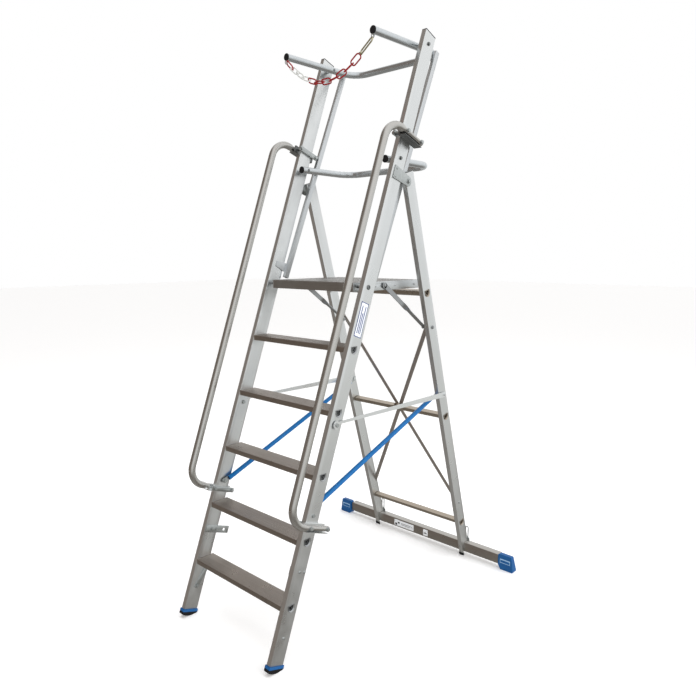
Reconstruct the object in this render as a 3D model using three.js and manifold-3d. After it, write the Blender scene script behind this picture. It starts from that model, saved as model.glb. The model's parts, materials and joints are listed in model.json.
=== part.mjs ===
// Folding platform step ladder with a stabiliser beam, guard rails, side
// handrails and a safety chain. Millimetres, +Z up. The climber stands on the
// -Y side and looks along +Y, and +X is the climber's right.
import * as THREE from 'three';
import { mergeVertices } from 'three/addons/utils/BufferGeometryUtils.js';
import Module from 'manifold-3d';

// ---- driving dimensions ------------------------------------------------
const RISE = 235;              // height from one tread to the next
const STEPS = 5;               // treads below the platform
const STILE_TILT = 20.5;       // degrees from vertical, leaning back
const LEG_TILT = 16.3;         // degrees from vertical, leaning forward
const HALF_WIDTH = 295;        // centre plane to the outer face of stile and leg
const STILE = { width: 22, depth: 66, wall: 2.2, top: 2552 };
const LEG = { width: 22, depth: 56, wall: 2, top: 1932, foot: 4 };
const LEG_ORIGIN_Y = 1309;     // where the leg's centre line meets the floor
const GAP = 0.35;              // running gap between separate pieces
const BOLT_R = 4;              // M8 hardware

const TREAD = { front: -34, back: 48, top: 9, lip: -12, skin: 3.5 };
const BEAD = { half: 13, centre: -4, bottom: -17, wall: 2.5 };
const FLARE = 3.2;             // how far a bead's end is spread over the stile
const FLARE_OUT = 2.4;         // how far the flare stands off the outer face

const RAIL_R = 15;             // handrail tube
const GUARD_R = 14;            // knee rail and top rail tube
const TUBE_WALL = 2;
const HANDRAIL = { x: 320, run: -145, back: 66, low: 561, high: 2119, bend: 80 };
const GUARD_X = 241;
const KNEE_RAIL = { z: 1902, front: 682, back: 990, bend: 78, boss: 711 };
const TOP_RAIL = { z: 2350, front: 604, back: 1034, bend: 80, boss: 879 };

const PLATFORM = { half: 240, front: 494, back: 916, top: 1424, base: 1388, side: 4, skin: 4 };
const PLATFORM_PIVOT = { y: 522, z: 1407 };
const STRUT_HOLE_Y = 680;      // strut bolt on the platform's side
const FOLD_PIVOT = { y: 757, z: 1818 };
const PIVOT = { radius: 5, head: 9 };
const LINK_STUD = 954;         // along the stile
const STAY_BOLT = 600;         // along the stile
const LEG_LINK = { n: 6, u: 931 };
const STRUT_BOLT_U = 1266;     // along the leg
const LINK = { inner: 299.4, thick: 4, half: 12 };
const STAY_R = 10;
const STAY_X = 260;

const BEAM = { front: 1283, back: 1322, low: 23, high: 72, half: 492, wall: 3 };
const CAP = { out: 577, lean: 10, front: 1279, foot: 38, crest: 22, high: 80 };

// ---- materials ---------------------------------------------------------
const finish = (color, roughness, metalness) =>
  new THREE.MeshStandardMaterial({ color, roughness, metalness });
const ALUMINIUM = finish(0xc4c8ca, 0.35, 1);
const GALVANISED = finish(0x9fa5a6, 0.5, 1);
const BLUE_METAL = finish(0x1f6db5, 0.4, 0.2);
const BLUE_PLASTIC = finish(0x0f5fa8, 0.5, 0);
const BLACK_PLASTIC = finish(0x15171a, 0.6, 0);
const RUBBER = finish(0x101214, 0.9, 0);
const RED_PLASTIC = finish(0xb3262a, 0.45, 0);

// ---- solids ------------------------------------------------------------
const wasm = await Module();
wasm.setup();

const solid = (geometry) => {
  const bare = geometry.clone();
  bare.deleteAttribute('normal');
  bare.deleteAttribute('uv');
  const merged = mergeVertices(bare, 1e-4);
  return new wasm.Manifold(new wasm.Mesh({
    numProp: 3,
    vertProperties: Float32Array.from(merged.attributes.position.array),
    triVerts: Uint32Array.from(merged.index.array),
  }));
};

const surface = (manifold) => {
  const { vertProperties, triVerts } = manifold.getMesh();
  const geometry = new THREE.BufferGeometry();
  geometry.setAttribute('position', new THREE.BufferAttribute(new Float32Array(vertProperties), 3));
  geometry.setIndex(new THREE.BufferAttribute(new Uint32Array(triVerts), 1));
  geometry.computeVertexNormals();
  return geometry;
};

const join = (...parts) => parts.reduce((all, part) => all.add(part));
const cut = (body, ...tools) => tools.reduce((rest, tool) => rest.subtract(tool), body);
const mirrored = (part) => part.mirror([1, 0, 0]);

// ---- frames ------------------------------------------------------------
const radians = THREE.MathUtils.degToRad;
const ladder = new THREE.Group();
const stileFrame = new THREE.Group();       // local x, depth, length along the stile
stileFrame.rotation.x = -radians(STILE_TILT);
const legFrame = new THREE.Group();         // local x, depth, length along the leg
legFrame.rotation.x = radians(LEG_TILT);
legFrame.position.y = LEG_ORIGIN_Y;
ladder.add(stileFrame, legFrame);
ladder.updateMatrixWorld(true);

const toLocal = (frame, y, z) => {
  const point = frame.worldToLocal(new THREE.Vector3(0, y, z));
  return { n: point.y, u: point.z };
};
const toWorld = (frame, n, u) => frame.localToWorld(new THREE.Vector3(0, n, u));
const intoFrame = (frame, geometry) =>
  geometry.clone().applyMatrix4(frame.matrixWorld.clone().invert());
const stileY = (z) => z * Math.tan(radians(STILE_TILT));

const add = (name, part, material, frame = ladder) => {
  const mesh = new THREE.Mesh(part.isBufferGeometry ? part : surface(part), material);
  mesh.name = name;
  frame.add(mesh);
  return mesh;
};
const addPair = (name, right, material, frame = ladder) => {
  add(`${name}_right`, right, material, frame);
  add(`${name}_left`, mirrored(right), material, frame);
};

// ---- outlines and prisms -------------------------------------------------
const outline = (points) => new THREE.Shape(points.map(([x, y]) => new THREE.Vector2(x, y)));
const block = (x0, x1, y0, y1) => outline([[x0, y0], [x1, y0], [x1, y1], [x0, y1]]);
const disc = (radius, x = 0, y = 0) => new THREE.Shape().absarc(x, y, radius, 0, 2 * Math.PI);
const ring = (radius, wall) => {
  const shape = disc(radius);
  shape.holes.push(disc(radius - wall));
  return shape;
};
const hollowBlock = (width, depth, wall) => {
  const shape = block(-width / 2, width / 2, -depth / 2, depth / 2);
  shape.holes.push(block(wall - width / 2, width / 2 - wall, wall - depth / 2, depth / 2 - wall));
  return shape;
};
const along = (axis, shape, from, to, curveSegments = 4) => {
  const geometry = new THREE.ExtrudeGeometry(shape, {
    depth: to - from, bevelEnabled: false, curveSegments,
  });
  if (axis === 'z') return geometry.translate(0, 0, from);
  const basis = new THREE.Matrix4();
  if (axis === 'x') {          // the outline's x is depth (Y), its y is height (Z)
    basis.makeBasis(new THREE.Vector3(0, 1, 0), new THREE.Vector3(0, 0, 1), new THREE.Vector3(1, 0, 0));
    return geometry.applyMatrix4(basis).translate(from, 0, 0);
  }
  basis.makeBasis(new THREE.Vector3(1, 0, 0), new THREE.Vector3(0, 0, 1), new THREE.Vector3(0, -1, 0));
  return geometry.applyMatrix4(basis).translate(0, to, 0);
};
const prism = (axis, shape, from, to, curveSegments) => solid(along(axis, shape, from, to, curveSegments));
const roundBar = (n, u, radius, from, to) => prism('x', disc(radius, n, u), from, to, 5);

// A tube route of straights and round bends. Its rings stand only where the
// direction changes, so a long straight costs two of them.
class BentRoute extends THREE.Curve {
  constructor(corners, bend, stepsPerBend = 4) {
    super();
    this.rings = [];
    const last = corners.length - 1;
    corners.forEach((corner, i) => {
      if (i === 0 || i === last) {
        const other = corners[i === 0 ? 1 : last - 1];
        const way = corner.clone().sub(other).normalize().multiplyScalar(i === 0 ? -1 : 1);
        this.rings.push({ at: corner.clone(), way });
        return;
      }
      const before = corner.clone().sub(corners[i - 1]).normalize();
      const after = corners[i + 1].clone().sub(corner).normalize();
      const turn = before.angleTo(after);
      const setback = bend * Math.tan(turn / 2);
      const start = corner.clone().addScaledVector(before, -setback);
      const inward = after.clone().addScaledVector(before, -before.dot(after)).normalize();
      for (let k = 0; k <= stepsPerBend; k += 1) {
        const angle = (turn * k) / stepsPerBend;
        this.rings.push({
          at: start.clone().addScaledVector(before, bend * Math.sin(angle))
            .addScaledVector(inward, bend * (1 - Math.cos(angle))),
          way: before.clone().multiplyScalar(Math.cos(angle)).addScaledVector(inward, Math.sin(angle)),
        });
      }
    });
  }

  ringAt(t) { return this.rings[Math.round(t * (this.rings.length - 1))]; }
  getPoint(t) { return this.ringAt(t).at.clone(); }
  getPointAt(t) { return this.getPoint(t); }
  getTangentAt(t) { return this.ringAt(t).way.clone(); }
}
const sweep = (shape, route, curveSegments = 5) => new THREE.ExtrudeGeometry(shape, {
  steps: route.rings.length - 1, extrudePath: route, curveSegments,
});

// ---- treads ------------------------------------------------------------
// Each tread is a channel with a hollow bead under its middle. The bead runs
// through both stiles and is spread over their outer faces.
const beadOutline = (grow) => {
  const half = BEAD.half + grow;
  const shape = new THREE.Shape();
  shape.moveTo(half, TREAD.top + grow);
  shape.lineTo(-half, TREAD.top + grow);
  shape.lineTo(-half, BEAD.centre);
  shape.absarc(0, BEAD.centre, half, Math.PI, 2 * Math.PI);
  return shape;
};
const beadTube = (reach, flareFrom) => {
  const bore = prism('x', beadOutline(-BEAD.wall), -reach - 1, reach + 1);
  const tube = prism('x', beadOutline(0), -reach, reach);
  const flares = [prism('x', beadOutline(FLARE), flareFrom, reach),
    prism('x', beadOutline(FLARE), -reach, -flareFrom)];
  return cut(join(tube, ...flares), bore);
};
const treadSection = () => {
  const { front, back, top, lip, skin } = TREAD;
  return outline([[front, top], [front, lip], [front + skin, lip], [front + skin, top - skin],
    [back - skin, top - skin], [back - skin, lip], [back, lip], [back, top]]);
};
const INNER_FACE = HALF_WIDTH - STILE.width;
const CUT_FROM = INNER_FACE - 5;      // a hole through a stile or leg starts and ends clear of it
const CUT_TO = HALF_WIDTH + 5;
const bead = beadTube(HALF_WIDTH + FLARE_OUT, HALF_WIDTH + GAP);
const beadBore = prism('x', beadOutline(-BEAD.wall), -CUT_TO, CUT_TO);
const treadBody = cut(prism('x', treadSection(), GAP - INNER_FACE, INNER_FACE - GAP), beadBore);
const tread = join(treadBody, bead);
for (let step = 1; step <= STEPS; step += 1) {
  const mesh = add(`tread_${step}`, tread, ALUMINIUM);
  mesh.position.set(0, stileY(step * RISE), step * RISE);
}

// ---- stiles ------------------------------------------------------------
const treadOpenings = [];
for (let step = 1; step <= STEPS; step += 1) {
  const opening = along('x', beadOutline(GAP), CUT_FROM, CUT_TO)
    .translate(0, stileY(step * RISE), step * RISE);
  treadOpenings.push(solid(intoFrame(stileFrame, opening)));
}
const platformPivot = toLocal(stileFrame, PLATFORM_PIVOT.y, PLATFORM_PIVOT.z);
const boltHole = (n, u, radius = BOLT_R) => roundBar(n, u, radius + GAP, CUT_FROM, CUT_TO);
const STILE_CUT = 20;          // where the stile's square end is, along the stile
const stileBlank = prism('z', hollowBlock(STILE.width, STILE.depth, STILE.wall), STILE_CUT, STILE.top)
  .translate([HALF_WIDTH - STILE.width / 2, 0, 0]);
const stile = cut(
  stileBlank,
  ...treadOpenings,
  boltHole(0, LINK_STUD),
  boltHole(0, STAY_BOLT),
  boltHole(platformPivot.n, platformPivot.u, PIVOT.radius),
);
addPair('stile', stile, ALUMINIUM, stileFrame);

// A stile's plastic plug fills its top end.
const plugWidth = STILE.width - 2 * STILE.wall - 2 * GAP;
const plugDepth = STILE.depth - 2 * STILE.wall - 2 * GAP;
const stilePlug = join(
  prism('z', block(-plugWidth / 2, plugWidth / 2, -plugDepth / 2, plugDepth / 2),
    STILE.top - 22, STILE.top + 1),
  prism('z', block(-STILE.width / 2, STILE.width / 2, -STILE.depth / 2, STILE.depth / 2),
    STILE.top + GAP, STILE.top + 3.5),
).translate([HALF_WIDTH - STILE.width / 2, 0, 0]);
addPair('stile_plug', stilePlug, BLACK_PLASTIC, stileFrame);

// Feet: a low shoe, square to each stile's end, on a rocker sole. The rocker's
// circle dips a little below the floor, so its lowest stretch is flat.
const FOOT = { wall: 3.5, rim: 29, centre: 20, radius: 80, flat: 12 };
const socketWidth = STILE.width + 2 * GAP;
const socketDepth = STILE.depth + 2 * GAP;
const upright = (width, depth, low, high) =>
  prism('z', block(-width / 2, width / 2, -depth / 2, depth / 2), low, high)
    .translate([HALF_WIDTH - STILE.width / 2, 0, 0]);
const underSole = () => {
  const level = Math.sqrt(FOOT.radius ** 2 - FOOT.flat ** 2);
  const shape = new THREE.Shape();
  shape.absarc(FOOT.centre, level, FOOT.radius, Math.PI, 2 * Math.PI);
  shape.lineTo(FOOT.centre + FOOT.radius, -FOOT.radius);
  shape.lineTo(FOOT.centre - FOOT.radius, -FOOT.radius);
  return shape;
};
const ground = block(-FOOT.radius, 2 * FOOT.radius, -FOOT.radius, 0);
addPair('foot', cut(
  upright(socketWidth + 2 * FOOT.wall, socketDepth + 2 * FOOT.wall, -40, FOOT.rim),
  upright(socketWidth, socketDepth, STILE_CUT - GAP, FOOT.rim + 1),
  solid(intoFrame(stileFrame, along('x', underSole(), CUT_FROM - 5, CUT_TO + 5, 12))),
  solid(intoFrame(stileFrame, along('x', ground, CUT_FROM - 5, CUT_TO + 5))),
), RUBBER, stileFrame);

// Flat straps from the stile's inner face up to the underside of tread 1.
const strap = (from, to, half, thick, outerX) => {
  const way = new THREE.Vector2(to.y - from.y, to.z - from.z);
  const side = new THREE.Vector2(-way.y, way.x).normalize().multiplyScalar(half);
  return along('x', outline([[from.y + side.x, from.z + side.y], [from.y - side.x, from.z - side.y],
    [to.y - side.x, to.z - side.y], [to.y + side.x, to.z + side.y]]), outerX - thick, outerX);
};
const TREAD_BRACE = { low: { y: 38, z: 116 }, high: { y: 118, z: 213 }, half: 10, thick: 3 };
addPair('tread_brace', solid(strap(
  TREAD_BRACE.low, TREAD_BRACE.high, TREAD_BRACE.half, TREAD_BRACE.thick, INNER_FACE - GAP,
)), ALUMINIUM);

// ---- platform pivots, link studs, lock tabs ------------------------------
const HEAD_R = 8;
const HEAD = 3;
const outerFace = HALF_WIDTH + GAP;
addPair('platform_pivot', join(
  roundBar(platformPivot.n, platformPivot.u, PIVOT.radius, PLATFORM.half - PLATFORM.side, HALF_WIDTH + 1),
  roundBar(platformPivot.n, platformPivot.u, PIVOT.head, outerFace, outerFace + HEAD),
), GALVANISED, stileFrame);

const studEnd = LINK.inner + LINK.thick + 0.6;
addPair('link_stud', join(
  roundBar(0, LINK_STUD, BOLT_R, INNER_FACE - 6, studEnd + 1),
  roundBar(0, LINK_STUD, HEAD_R, studEnd, studEnd + 2.4),
  roundBar(0, LINK_STUD, HEAD_R, INNER_FACE - 6.5, INNER_FACE - GAP),
), GALVANISED, stileFrame);

// A tab on the left stile's inner face reaches back, with a square hole for a
// hasp. The right stile has only the plate that takes the same two bolts.
const TAB = { front: -30, back: 92, short: 31, level: 384, half: 16, thick: 4, holeAt: 67, holeHalf: 6 };
const tabBlock = (front, back, half, from, to) =>
  prism('x', block(front, back, TAB.level - half, TAB.level + half), from, to);
const tabOuter = INNER_FACE - GAP;
add('lock_tab_left', mirrored(cut(
  tabBlock(TAB.front, TAB.back, TAB.half, tabOuter - TAB.thick, tabOuter),
  tabBlock(TAB.holeAt - TAB.holeHalf, TAB.holeAt + TAB.holeHalf, TAB.holeHalf, tabOuter - 10, tabOuter + 1),
)), GALVANISED, stileFrame);
add('lock_plate_right', tabBlock(TAB.front, TAB.short, TAB.half, tabOuter - TAB.thick, tabOuter),
  GALVANISED, stileFrame);

// ---- handrails -----------------------------------------------------------
const handrailCorners = [
  [HANDRAIL.back, HANDRAIL.low], [HANDRAIL.run, HANDRAIL.low],
  [HANDRAIL.run, HANDRAIL.high], [HANDRAIL.back, HANDRAIL.high],
].map(([n, u]) => new THREE.Vector3(HANDRAIL.x, n, u));
const CLAMP = { front: -39, back: 53, bar: 8, half: 10, headOut: HANDRAIL.x + RAIL_R };
const clampHoles = [];
for (const u of [HANDRAIL.low, HANDRAIL.high]) {
  for (const n of [CLAMP.front, CLAMP.back]) {
    clampHoles.push(roundBar(n, u, BOLT_R + GAP, HANDRAIL.x - 30, HANDRAIL.x + 30));
  }
}
const handrail = cut(
  solid(sweep(ring(RAIL_R, TUBE_WALL), new BentRoute(handrailCorners, HANDRAIL.bend))),
  ...clampHoles,
);
addPair('handrail', handrail, ALUMINIUM, stileFrame);

// A clamp is a bar across the stile's inner face and two bolts that pull the
// handrail's end onto a saddle on the outer face.
for (const [level, u] of [['lower', HANDRAIL.low], ['upper', HANDRAIL.high]]) {
  const bar = prism('x', block(CLAMP.front - 9, CLAMP.back + 9, u - CLAMP.half, u + CLAMP.half),
    INNER_FACE - GAP - CLAMP.bar, INNER_FACE - GAP);
  const bolts = [CLAMP.front, CLAMP.back].map((n) => join(
    roundBar(n, u, BOLT_R, INNER_FACE - CLAMP.bar - 6, CLAMP.headOut + 3),
    roundBar(n, u, 7, CLAMP.headOut + GAP, CLAMP.headOut + 4),
  ));
  addPair(`handrail_clamp_${level}`, join(bar, ...bolts), GALVANISED, stileFrame);
}

// ---- guard rails ----------------------------------------------------------
const BOSS_R = 9;
const EYE = { drop: 23, half: 5 };
for (const [name, rail] of [['knee_rail', KNEE_RAIL], ['top_rail', TOP_RAIL]]) {
  const corners = [[GUARD_X, rail.front], [GUARD_X, rail.back], [-GUARD_X, rail.back], [-GUARD_X, rail.front]]
    .map(([x, y]) => new THREE.Vector3(x, y, rail.z));
  const tube = solid(sweep(ring(GUARD_R, TUBE_WALL), new BentRoute(corners, rail.bend)));
  const bore = prism('y', disc(GUARD_R - TUBE_WALL), rail.boss - 40, rail.boss + 40, 6)
    .translate([GUARD_X, 0, rail.z]);
  const boss = cut(prism('x', disc(BOSS_R, rail.boss, rail.z), GUARD_X, INNER_FACE - GAP, 6), bore);
  add(name, join(tube, boss, mirrored(boss)), ALUMINIUM);

  // Plugs close the two front ends; the top rail's carry an eye for the chain.
  const plugParts = [
    prism('y', disc(GUARD_R - TUBE_WALL - 1), rail.front - 1, rail.front + 16, 5),
    prism('y', disc(GUARD_R), rail.front - 5, rail.front - GAP, 5),
  ];
  const eye = block(rail.front - 5, rail.front - GAP - 0.5, -EYE.drop, 0);
  if (name === 'top_rail') plugParts.push(prism('x', eye, -EYE.half, EYE.half));
  addPair(`${name}_plug`, join(...plugParts).translate([GUARD_X, 0, rail.z]), BLACK_PLASTIC);
}

// Guard posts run from the stiles at platform level up to the top rail.
const POST = { x: 263.7, width: 16, depth: 22, wall: 1.8, foot: [590, 1430], head: [976, 2346] };
const postWay = new THREE.Vector2(POST.head[0] - POST.foot[0], POST.head[1] - POST.foot[1]);
const postFrame = new THREE.Group();
postFrame.position.set(0, POST.foot[0], POST.foot[1]);
postFrame.rotation.x = -Math.atan2(postWay.x, postWay.y);
ladder.add(postFrame);
ladder.updateMatrixWorld(true);
const postTube = prism('z', hollowBlock(POST.width, POST.depth, POST.wall), 0, postWay.length())
  .translate([POST.x, 0, 0]);
const postTab = prism('x', outline([[-66, 30], [-10, 22], [-10, 62], [-66, 54]]),
  INNER_FACE - 4, INNER_FACE - GAP);
addPair('guard_post', join(postTube, postTab), ALUMINIUM, postFrame);

// ---- fold hinge -----------------------------------------------------------
const hinge = toLocal(stileFrame, FOLD_PIVOT.y, FOLD_PIVOT.z);
const HINGE = { plate: 3.6, pin: 6, half: 26 };
const hingeOutline = new THREE.Shape();
hingeOutline.moveTo(-22, hinge.u - HINGE.half);
hingeOutline.lineTo(hinge.n, hinge.u - 20);
hingeOutline.absarc(hinge.n, hinge.u, 20, -Math.PI / 2, Math.PI / 2);
hingeOutline.lineTo(-22, hinge.u + HINGE.half);
addPair('hinge_bracket', join(
  prism('x', hingeOutline, HALF_WIDTH + GAP, HALF_WIDTH + GAP + HINGE.plate),
  roundBar(hinge.n, hinge.u, HINGE.pin, INNER_FACE + 1, HALF_WIDTH + 2),
  roundBar(hinge.n, hinge.u, 10, HALF_WIDTH + 2, HALF_WIDTH + GAP + HINGE.plate + 3),
), GALVANISED, stileFrame);

// ---- rear frame -------------------------------------------------------------
const legHinge = toLocal(legFrame, FOLD_PIVOT.y, FOLD_PIVOT.z);
const BARS = { lower: 206, middle: 819.5, upper: 1428 };
const legBead = (u, grow) => along('x', beadOutline(grow), CUT_FROM, CUT_TO).translate(0, 0, u);
const legHole = (n, u, radius) => roundBar(n, u, radius + GAP, CUT_FROM, CUT_TO);
const beamSpace = solid(intoFrame(legFrame, along('x',
  block(BEAM.front - GAP, BEAM.back + 40, -20, BEAM.high + GAP), CUT_FROM, CUT_TO)));
const underFloor = solid(intoFrame(legFrame, along('x', block(1100, 1500, -200, LEG.foot),
  CUT_FROM, CUT_TO)));
const legBlank = prism('z', hollowBlock(LEG.width, LEG.depth, LEG.wall), -20, LEG.top)
  .translate([HALF_WIDTH - LEG.width / 2, 0, 0]);
const leg = cut(
  legBlank, beamSpace, underFloor,
  ...Object.values(BARS).map((u) => solid(legBead(u, GAP))),
  legHole(legHinge.n, legHinge.u, HINGE.pin),
  legHole(LEG_LINK.n, LEG_LINK.u, BOLT_R),
  legHole(0, STRUT_BOLT_U, BOLT_R),
);
addPair('rear_leg', leg, ALUMINIUM, legFrame);

for (const [level, u] of Object.entries(BARS)) {
  add(`rear_crossbar_${level}`, bead, ALUMINIUM, legFrame).position.z = u;
}

// Two flat bars cross behind each other between the legs.
const BRACE = { reach: INNER_FACE - 1, low: 300, high: 1300, half: 10, thick: 3, n: 17.5 };
const braceBar = (side, n) => {
  const way = new THREE.Vector2(2 * BRACE.reach, BRACE.high - BRACE.low).normalize();
  const lift = BRACE.half / way.x;
  const points = [[-BRACE.reach, BRACE.low - lift], [BRACE.reach, BRACE.high - lift],
    [BRACE.reach, BRACE.high + lift], [-BRACE.reach, BRACE.low + lift]];
  const bar = prism('y', outline(points), n, n + BRACE.thick);
  return side < 0 ? mirrored(bar) : bar;
};
add('cross_brace_1', braceBar(1, BRACE.n), ALUMINIUM, legFrame);
add('cross_brace_2', braceBar(-1, BRACE.n + BRACE.thick + GAP), ALUMINIUM, legFrame);

// Stabiliser beam with its end caps, which stand on the floor.
const beamSection = block(BEAM.front, BEAM.back, BEAM.low, BEAM.high);
beamSection.holes.push(block(BEAM.front + BEAM.wall, BEAM.back - BEAM.wall,
  BEAM.low + BEAM.wall, BEAM.high - BEAM.wall));
const WING = { z: 47.5, x: HALF_WIDTH - LEG.width / 2 };
const wingHole = prism('y', disc(BOLT_R + GAP, WING.x, WING.z), BEAM.front - 60, BEAM.back + 60, 6);
const beam = cut(prism('x', beamSection, -BEAM.half, BEAM.half), wingHole, mirrored(wingHole));
add('base_beam', beam, ALUMINIUM);

// A cap's outer edge leans out towards the floor, and its back slopes, so that
// its crest is thinner than its foot.
const capOutline = () => {
  const r = 7;
  const [inner, outer] = [BEAM.half + 3, CAP.out - r];
  const shape = new THREE.Shape();
  shape.absarc(outer, r, r, -Math.PI / 2, 0);
  shape.absarc(outer - CAP.lean, CAP.high - r, r, 0, Math.PI / 2);
  shape.absarc(inner + r, CAP.high - r, r, Math.PI / 2, Math.PI);
  shape.lineTo(inner, BEAM.low);
  shape.absarc(inner + r + CAP.lean, r, r, Math.PI, 1.5 * Math.PI);
  return shape;
};
const behindCap = outline([[CAP.front + CAP.foot, 0], [CAP.front + 3 * CAP.foot, -1],
  [CAP.front + 3 * CAP.foot, CAP.high + 1], [CAP.front + CAP.crest, CAP.high + 1]]);
const capBlank = cut(prism('y', capOutline(), CAP.front, CAP.front + CAP.foot, 4),
  prism('x', behindCap, BEAM.half, CAP.out + 1));
const spigot = prism('x', block(BEAM.front + BEAM.wall + GAP, BEAM.back - BEAM.wall - GAP,
  BEAM.low + BEAM.wall + GAP, BEAM.high - BEAM.wall - GAP), BEAM.half - 40, BEAM.half + 4);
addPair('beam_cap', join(capBlank, spigot), BLUE_PLASTIC);

// A galvanised clip behind each leg holds the beam and ends in a tall pull loop.
// A wing bolt draws it tight.
const CLIP = { front: BEAM.back + GAP, plate: 3, half: 17, shoulder: 84, loop: 10, eye: 5, top: 146 };
const clipPlate = prism('y', block(WING.x - CLIP.half, WING.x + CLIP.half, BEAM.low + 2, CLIP.shoulder),
  CLIP.front, CLIP.front + CLIP.plate);
const oblong = (half, low, high) => {
  const shape = new THREE.Shape();
  shape.absarc(WING.x, low + half, half, Math.PI, 2 * Math.PI);
  shape.absarc(WING.x, high - half, half, 0, Math.PI);
  return shape;
};
const pullLoop = prism('y', oblong(CLIP.loop, BEAM.high - CLIP.loop, CLIP.top), CLIP.front, CLIP.front + CLIP.plate);
const loopEye = prism('y', oblong(CLIP.eye, CLIP.shoulder + 4, CLIP.top - CLIP.eye),
  CLIP.front - 5, CLIP.front + CLIP.plate + 5);
addPair('beam_clip', cut(join(clipPlate, pullLoop), loopEye, wingHole), GALVANISED);

const WING_BOLT = { hub: CLIP.front + CLIP.plate + GAP, reach: 20 };
const wing = outline([[-WING_BOLT.reach, 4], [-WING_BOLT.reach, 12], [-6, 6], [6, 6],
  [WING_BOLT.reach, 12], [WING_BOLT.reach, 4], [6, -6], [-6, -6]]);
const wingBolt = join(
  prism('y', disc(BOLT_R), BEAM.front - 2, WING_BOLT.hub + 2, 6),
  prism('y', wing, WING_BOLT.hub, WING_BOLT.hub + 8),
).translate([WING.x, 0, WING.z]);
addPair('wing_bolt', wingBolt, GALVANISED);

// ---- platform --------------------------------------------------------------
const deckSection = () => {
  const { front, back, top, base, skin } = PLATFORM;
  const points = [[front, top], [front, base], [front + skin, base], [front + skin, top - skin]];
  for (const rib of [0.25, 0.5, 0.75]) {
    const y = front + (back - front) * rib;
    points.push([y - 2, top - skin], [y - 2, base + 8], [y + 2, base + 8], [y + 2, top - skin]);
  }
  points.push([back - skin, top - skin], [back - skin, base], [back, base], [back, top]);
  return outline(points);
};
const deckHalf = PLATFORM.half - PLATFORM.side - GAP;
const pivotClear = prism('x', disc(PIVOT.radius + GAP, PLATFORM_PIVOT.y, PLATFORM_PIVOT.z), -400, 400, 6);
add('platform_deck', prism('x', deckSection(), -deckHalf, deckHalf), ALUMINIUM);
addPair('platform_side', cut(
  prism('x', block(PLATFORM.front, PLATFORM.back, PLATFORM.base, PLATFORM.top - 0.5),
    PLATFORM.half - PLATFORM.side, PLATFORM.half), pivotClear,
), ALUMINIUM);

// Struts hold the platform from below. Each turns on its own pin in the leg.
const strutPin = toWorld(legFrame, 0, STRUT_BOLT_U);
const strutEnd = { y: STRUT_HOLE_Y, z: PLATFORM_PIVOT.z };
const flatLink = (from, to, half, x0, x1) => {
  const reach = Math.hypot(to.y - from.y, to.z - from.z);
  const shape = new THREE.Shape();
  shape.absarc(0, 0, half, Math.PI / 2, 1.5 * Math.PI);
  shape.absarc(reach, 0, half, -Math.PI / 2, Math.PI / 2);
  return solid(along('x', shape, x0, x1, 4).rotateX(Math.atan2(to.z - from.z, to.y - from.y))
    .translate(0, from.y, from.z));
};
const pin = (at, radius, x0, x1) => roundBar(at.y, at.z, radius, x0, x1);
const strutPinAt = { y: strutPin.y, z: strutPin.z };
addPair('platform_strut', join(
  flatLink(strutPinAt, strutEnd, 10, PLATFORM.half + 4, PLATFORM.half + 8),
  pin(strutPinAt, BOLT_R, PLATFORM.half + 5, HALF_WIDTH + 1),
  pin(strutPinAt, 7, PLATFORM.half + 7, INNER_FACE - GAP),
  pin(strutPinAt, 7, outerFace, outerFace + HEAD),
  pin(strutEnd, 7, PLATFORM.half + GAP, PLATFORM.half + 5),
  pin(strutEnd, 6, PLATFORM.half + 7, PLATFORM.half + 11),
), ALUMINIUM);

// ---- links and stays ---------------------------------------------------------
const linkPin = toWorld(legFrame, LEG_LINK.n, LEG_LINK.u);
const linkPinAt = { y: linkPin.y, z: linkPin.z };
const stud = toWorld(stileFrame, 0, LINK_STUD);
const studAt = { y: stud.y, z: stud.z };
const slot = (at, degrees, half, x0, x1) => {
  const shape = new THREE.Shape();
  shape.absarc(0, 0, half, Math.PI / 2, 1.5 * Math.PI);
  shape.lineTo(60, -half);
  shape.lineTo(60, half);
  return solid(along('x', shape, x0, x1, 4).rotateX(radians(degrees)).translate(0, at.y, at.z));
};
const SLOT_HALF = 5.6;
const linkOuter = LINK.inner + LINK.thick;
addPair('spreader_link', join(
  cut(
    join(flatLink(linkPinAt, studAt, LINK.half, LINK.inner, linkOuter),
      pin(studAt, 17, LINK.inner, linkOuter)),
    slot(studAt, -64, SLOT_HALF, LINK.inner - 1, linkOuter + 1),
  ),
  pin(linkPinAt, BOLT_R, STAY_X - 2, linkOuter - 1),
  pin(linkPinAt, 8, HALF_WIDTH + GAP, LINK.inner + 1),
  pin(linkPinAt, HEAD_R, linkOuter - 1, linkOuter + HEAD),
  pin(linkPinAt, 7, STAY_X - 2, STAY_X + 1.4),
), ALUMINIUM);

const stayBolt = toWorld(stileFrame, 0, STAY_BOLT);
const stayFrom = { y: stayBolt.y, z: stayBolt.z };
const stayAngle = Math.atan2(linkPinAt.z - stayFrom.z, linkPinAt.y - stayFrom.y);
const stayReach = Math.hypot(linkPinAt.y - stayFrom.y, linkPinAt.z - stayFrom.z);
const TONGUE = { inner: 262, outer: 266, half: 11, tubeFrom: 22, tubeTo: 36 };
const stayTube = along('z', ring(STAY_R, 1.6), TONGUE.tubeFrom, stayReach - TONGUE.tubeTo, 5)
  .rotateX(-Math.PI / 2 + stayAngle).translate(STAY_X, stayFrom.y, stayFrom.z);
const tongues = cut(
  flatLink(stayFrom, linkPinAt, TONGUE.half, TONGUE.inner, TONGUE.outer),
  slot(linkPinAt, THREE.MathUtils.radToDeg(stayAngle) + 217, SLOT_HALF, TONGUE.inner - 1, TONGUE.outer + 1),
);
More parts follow.
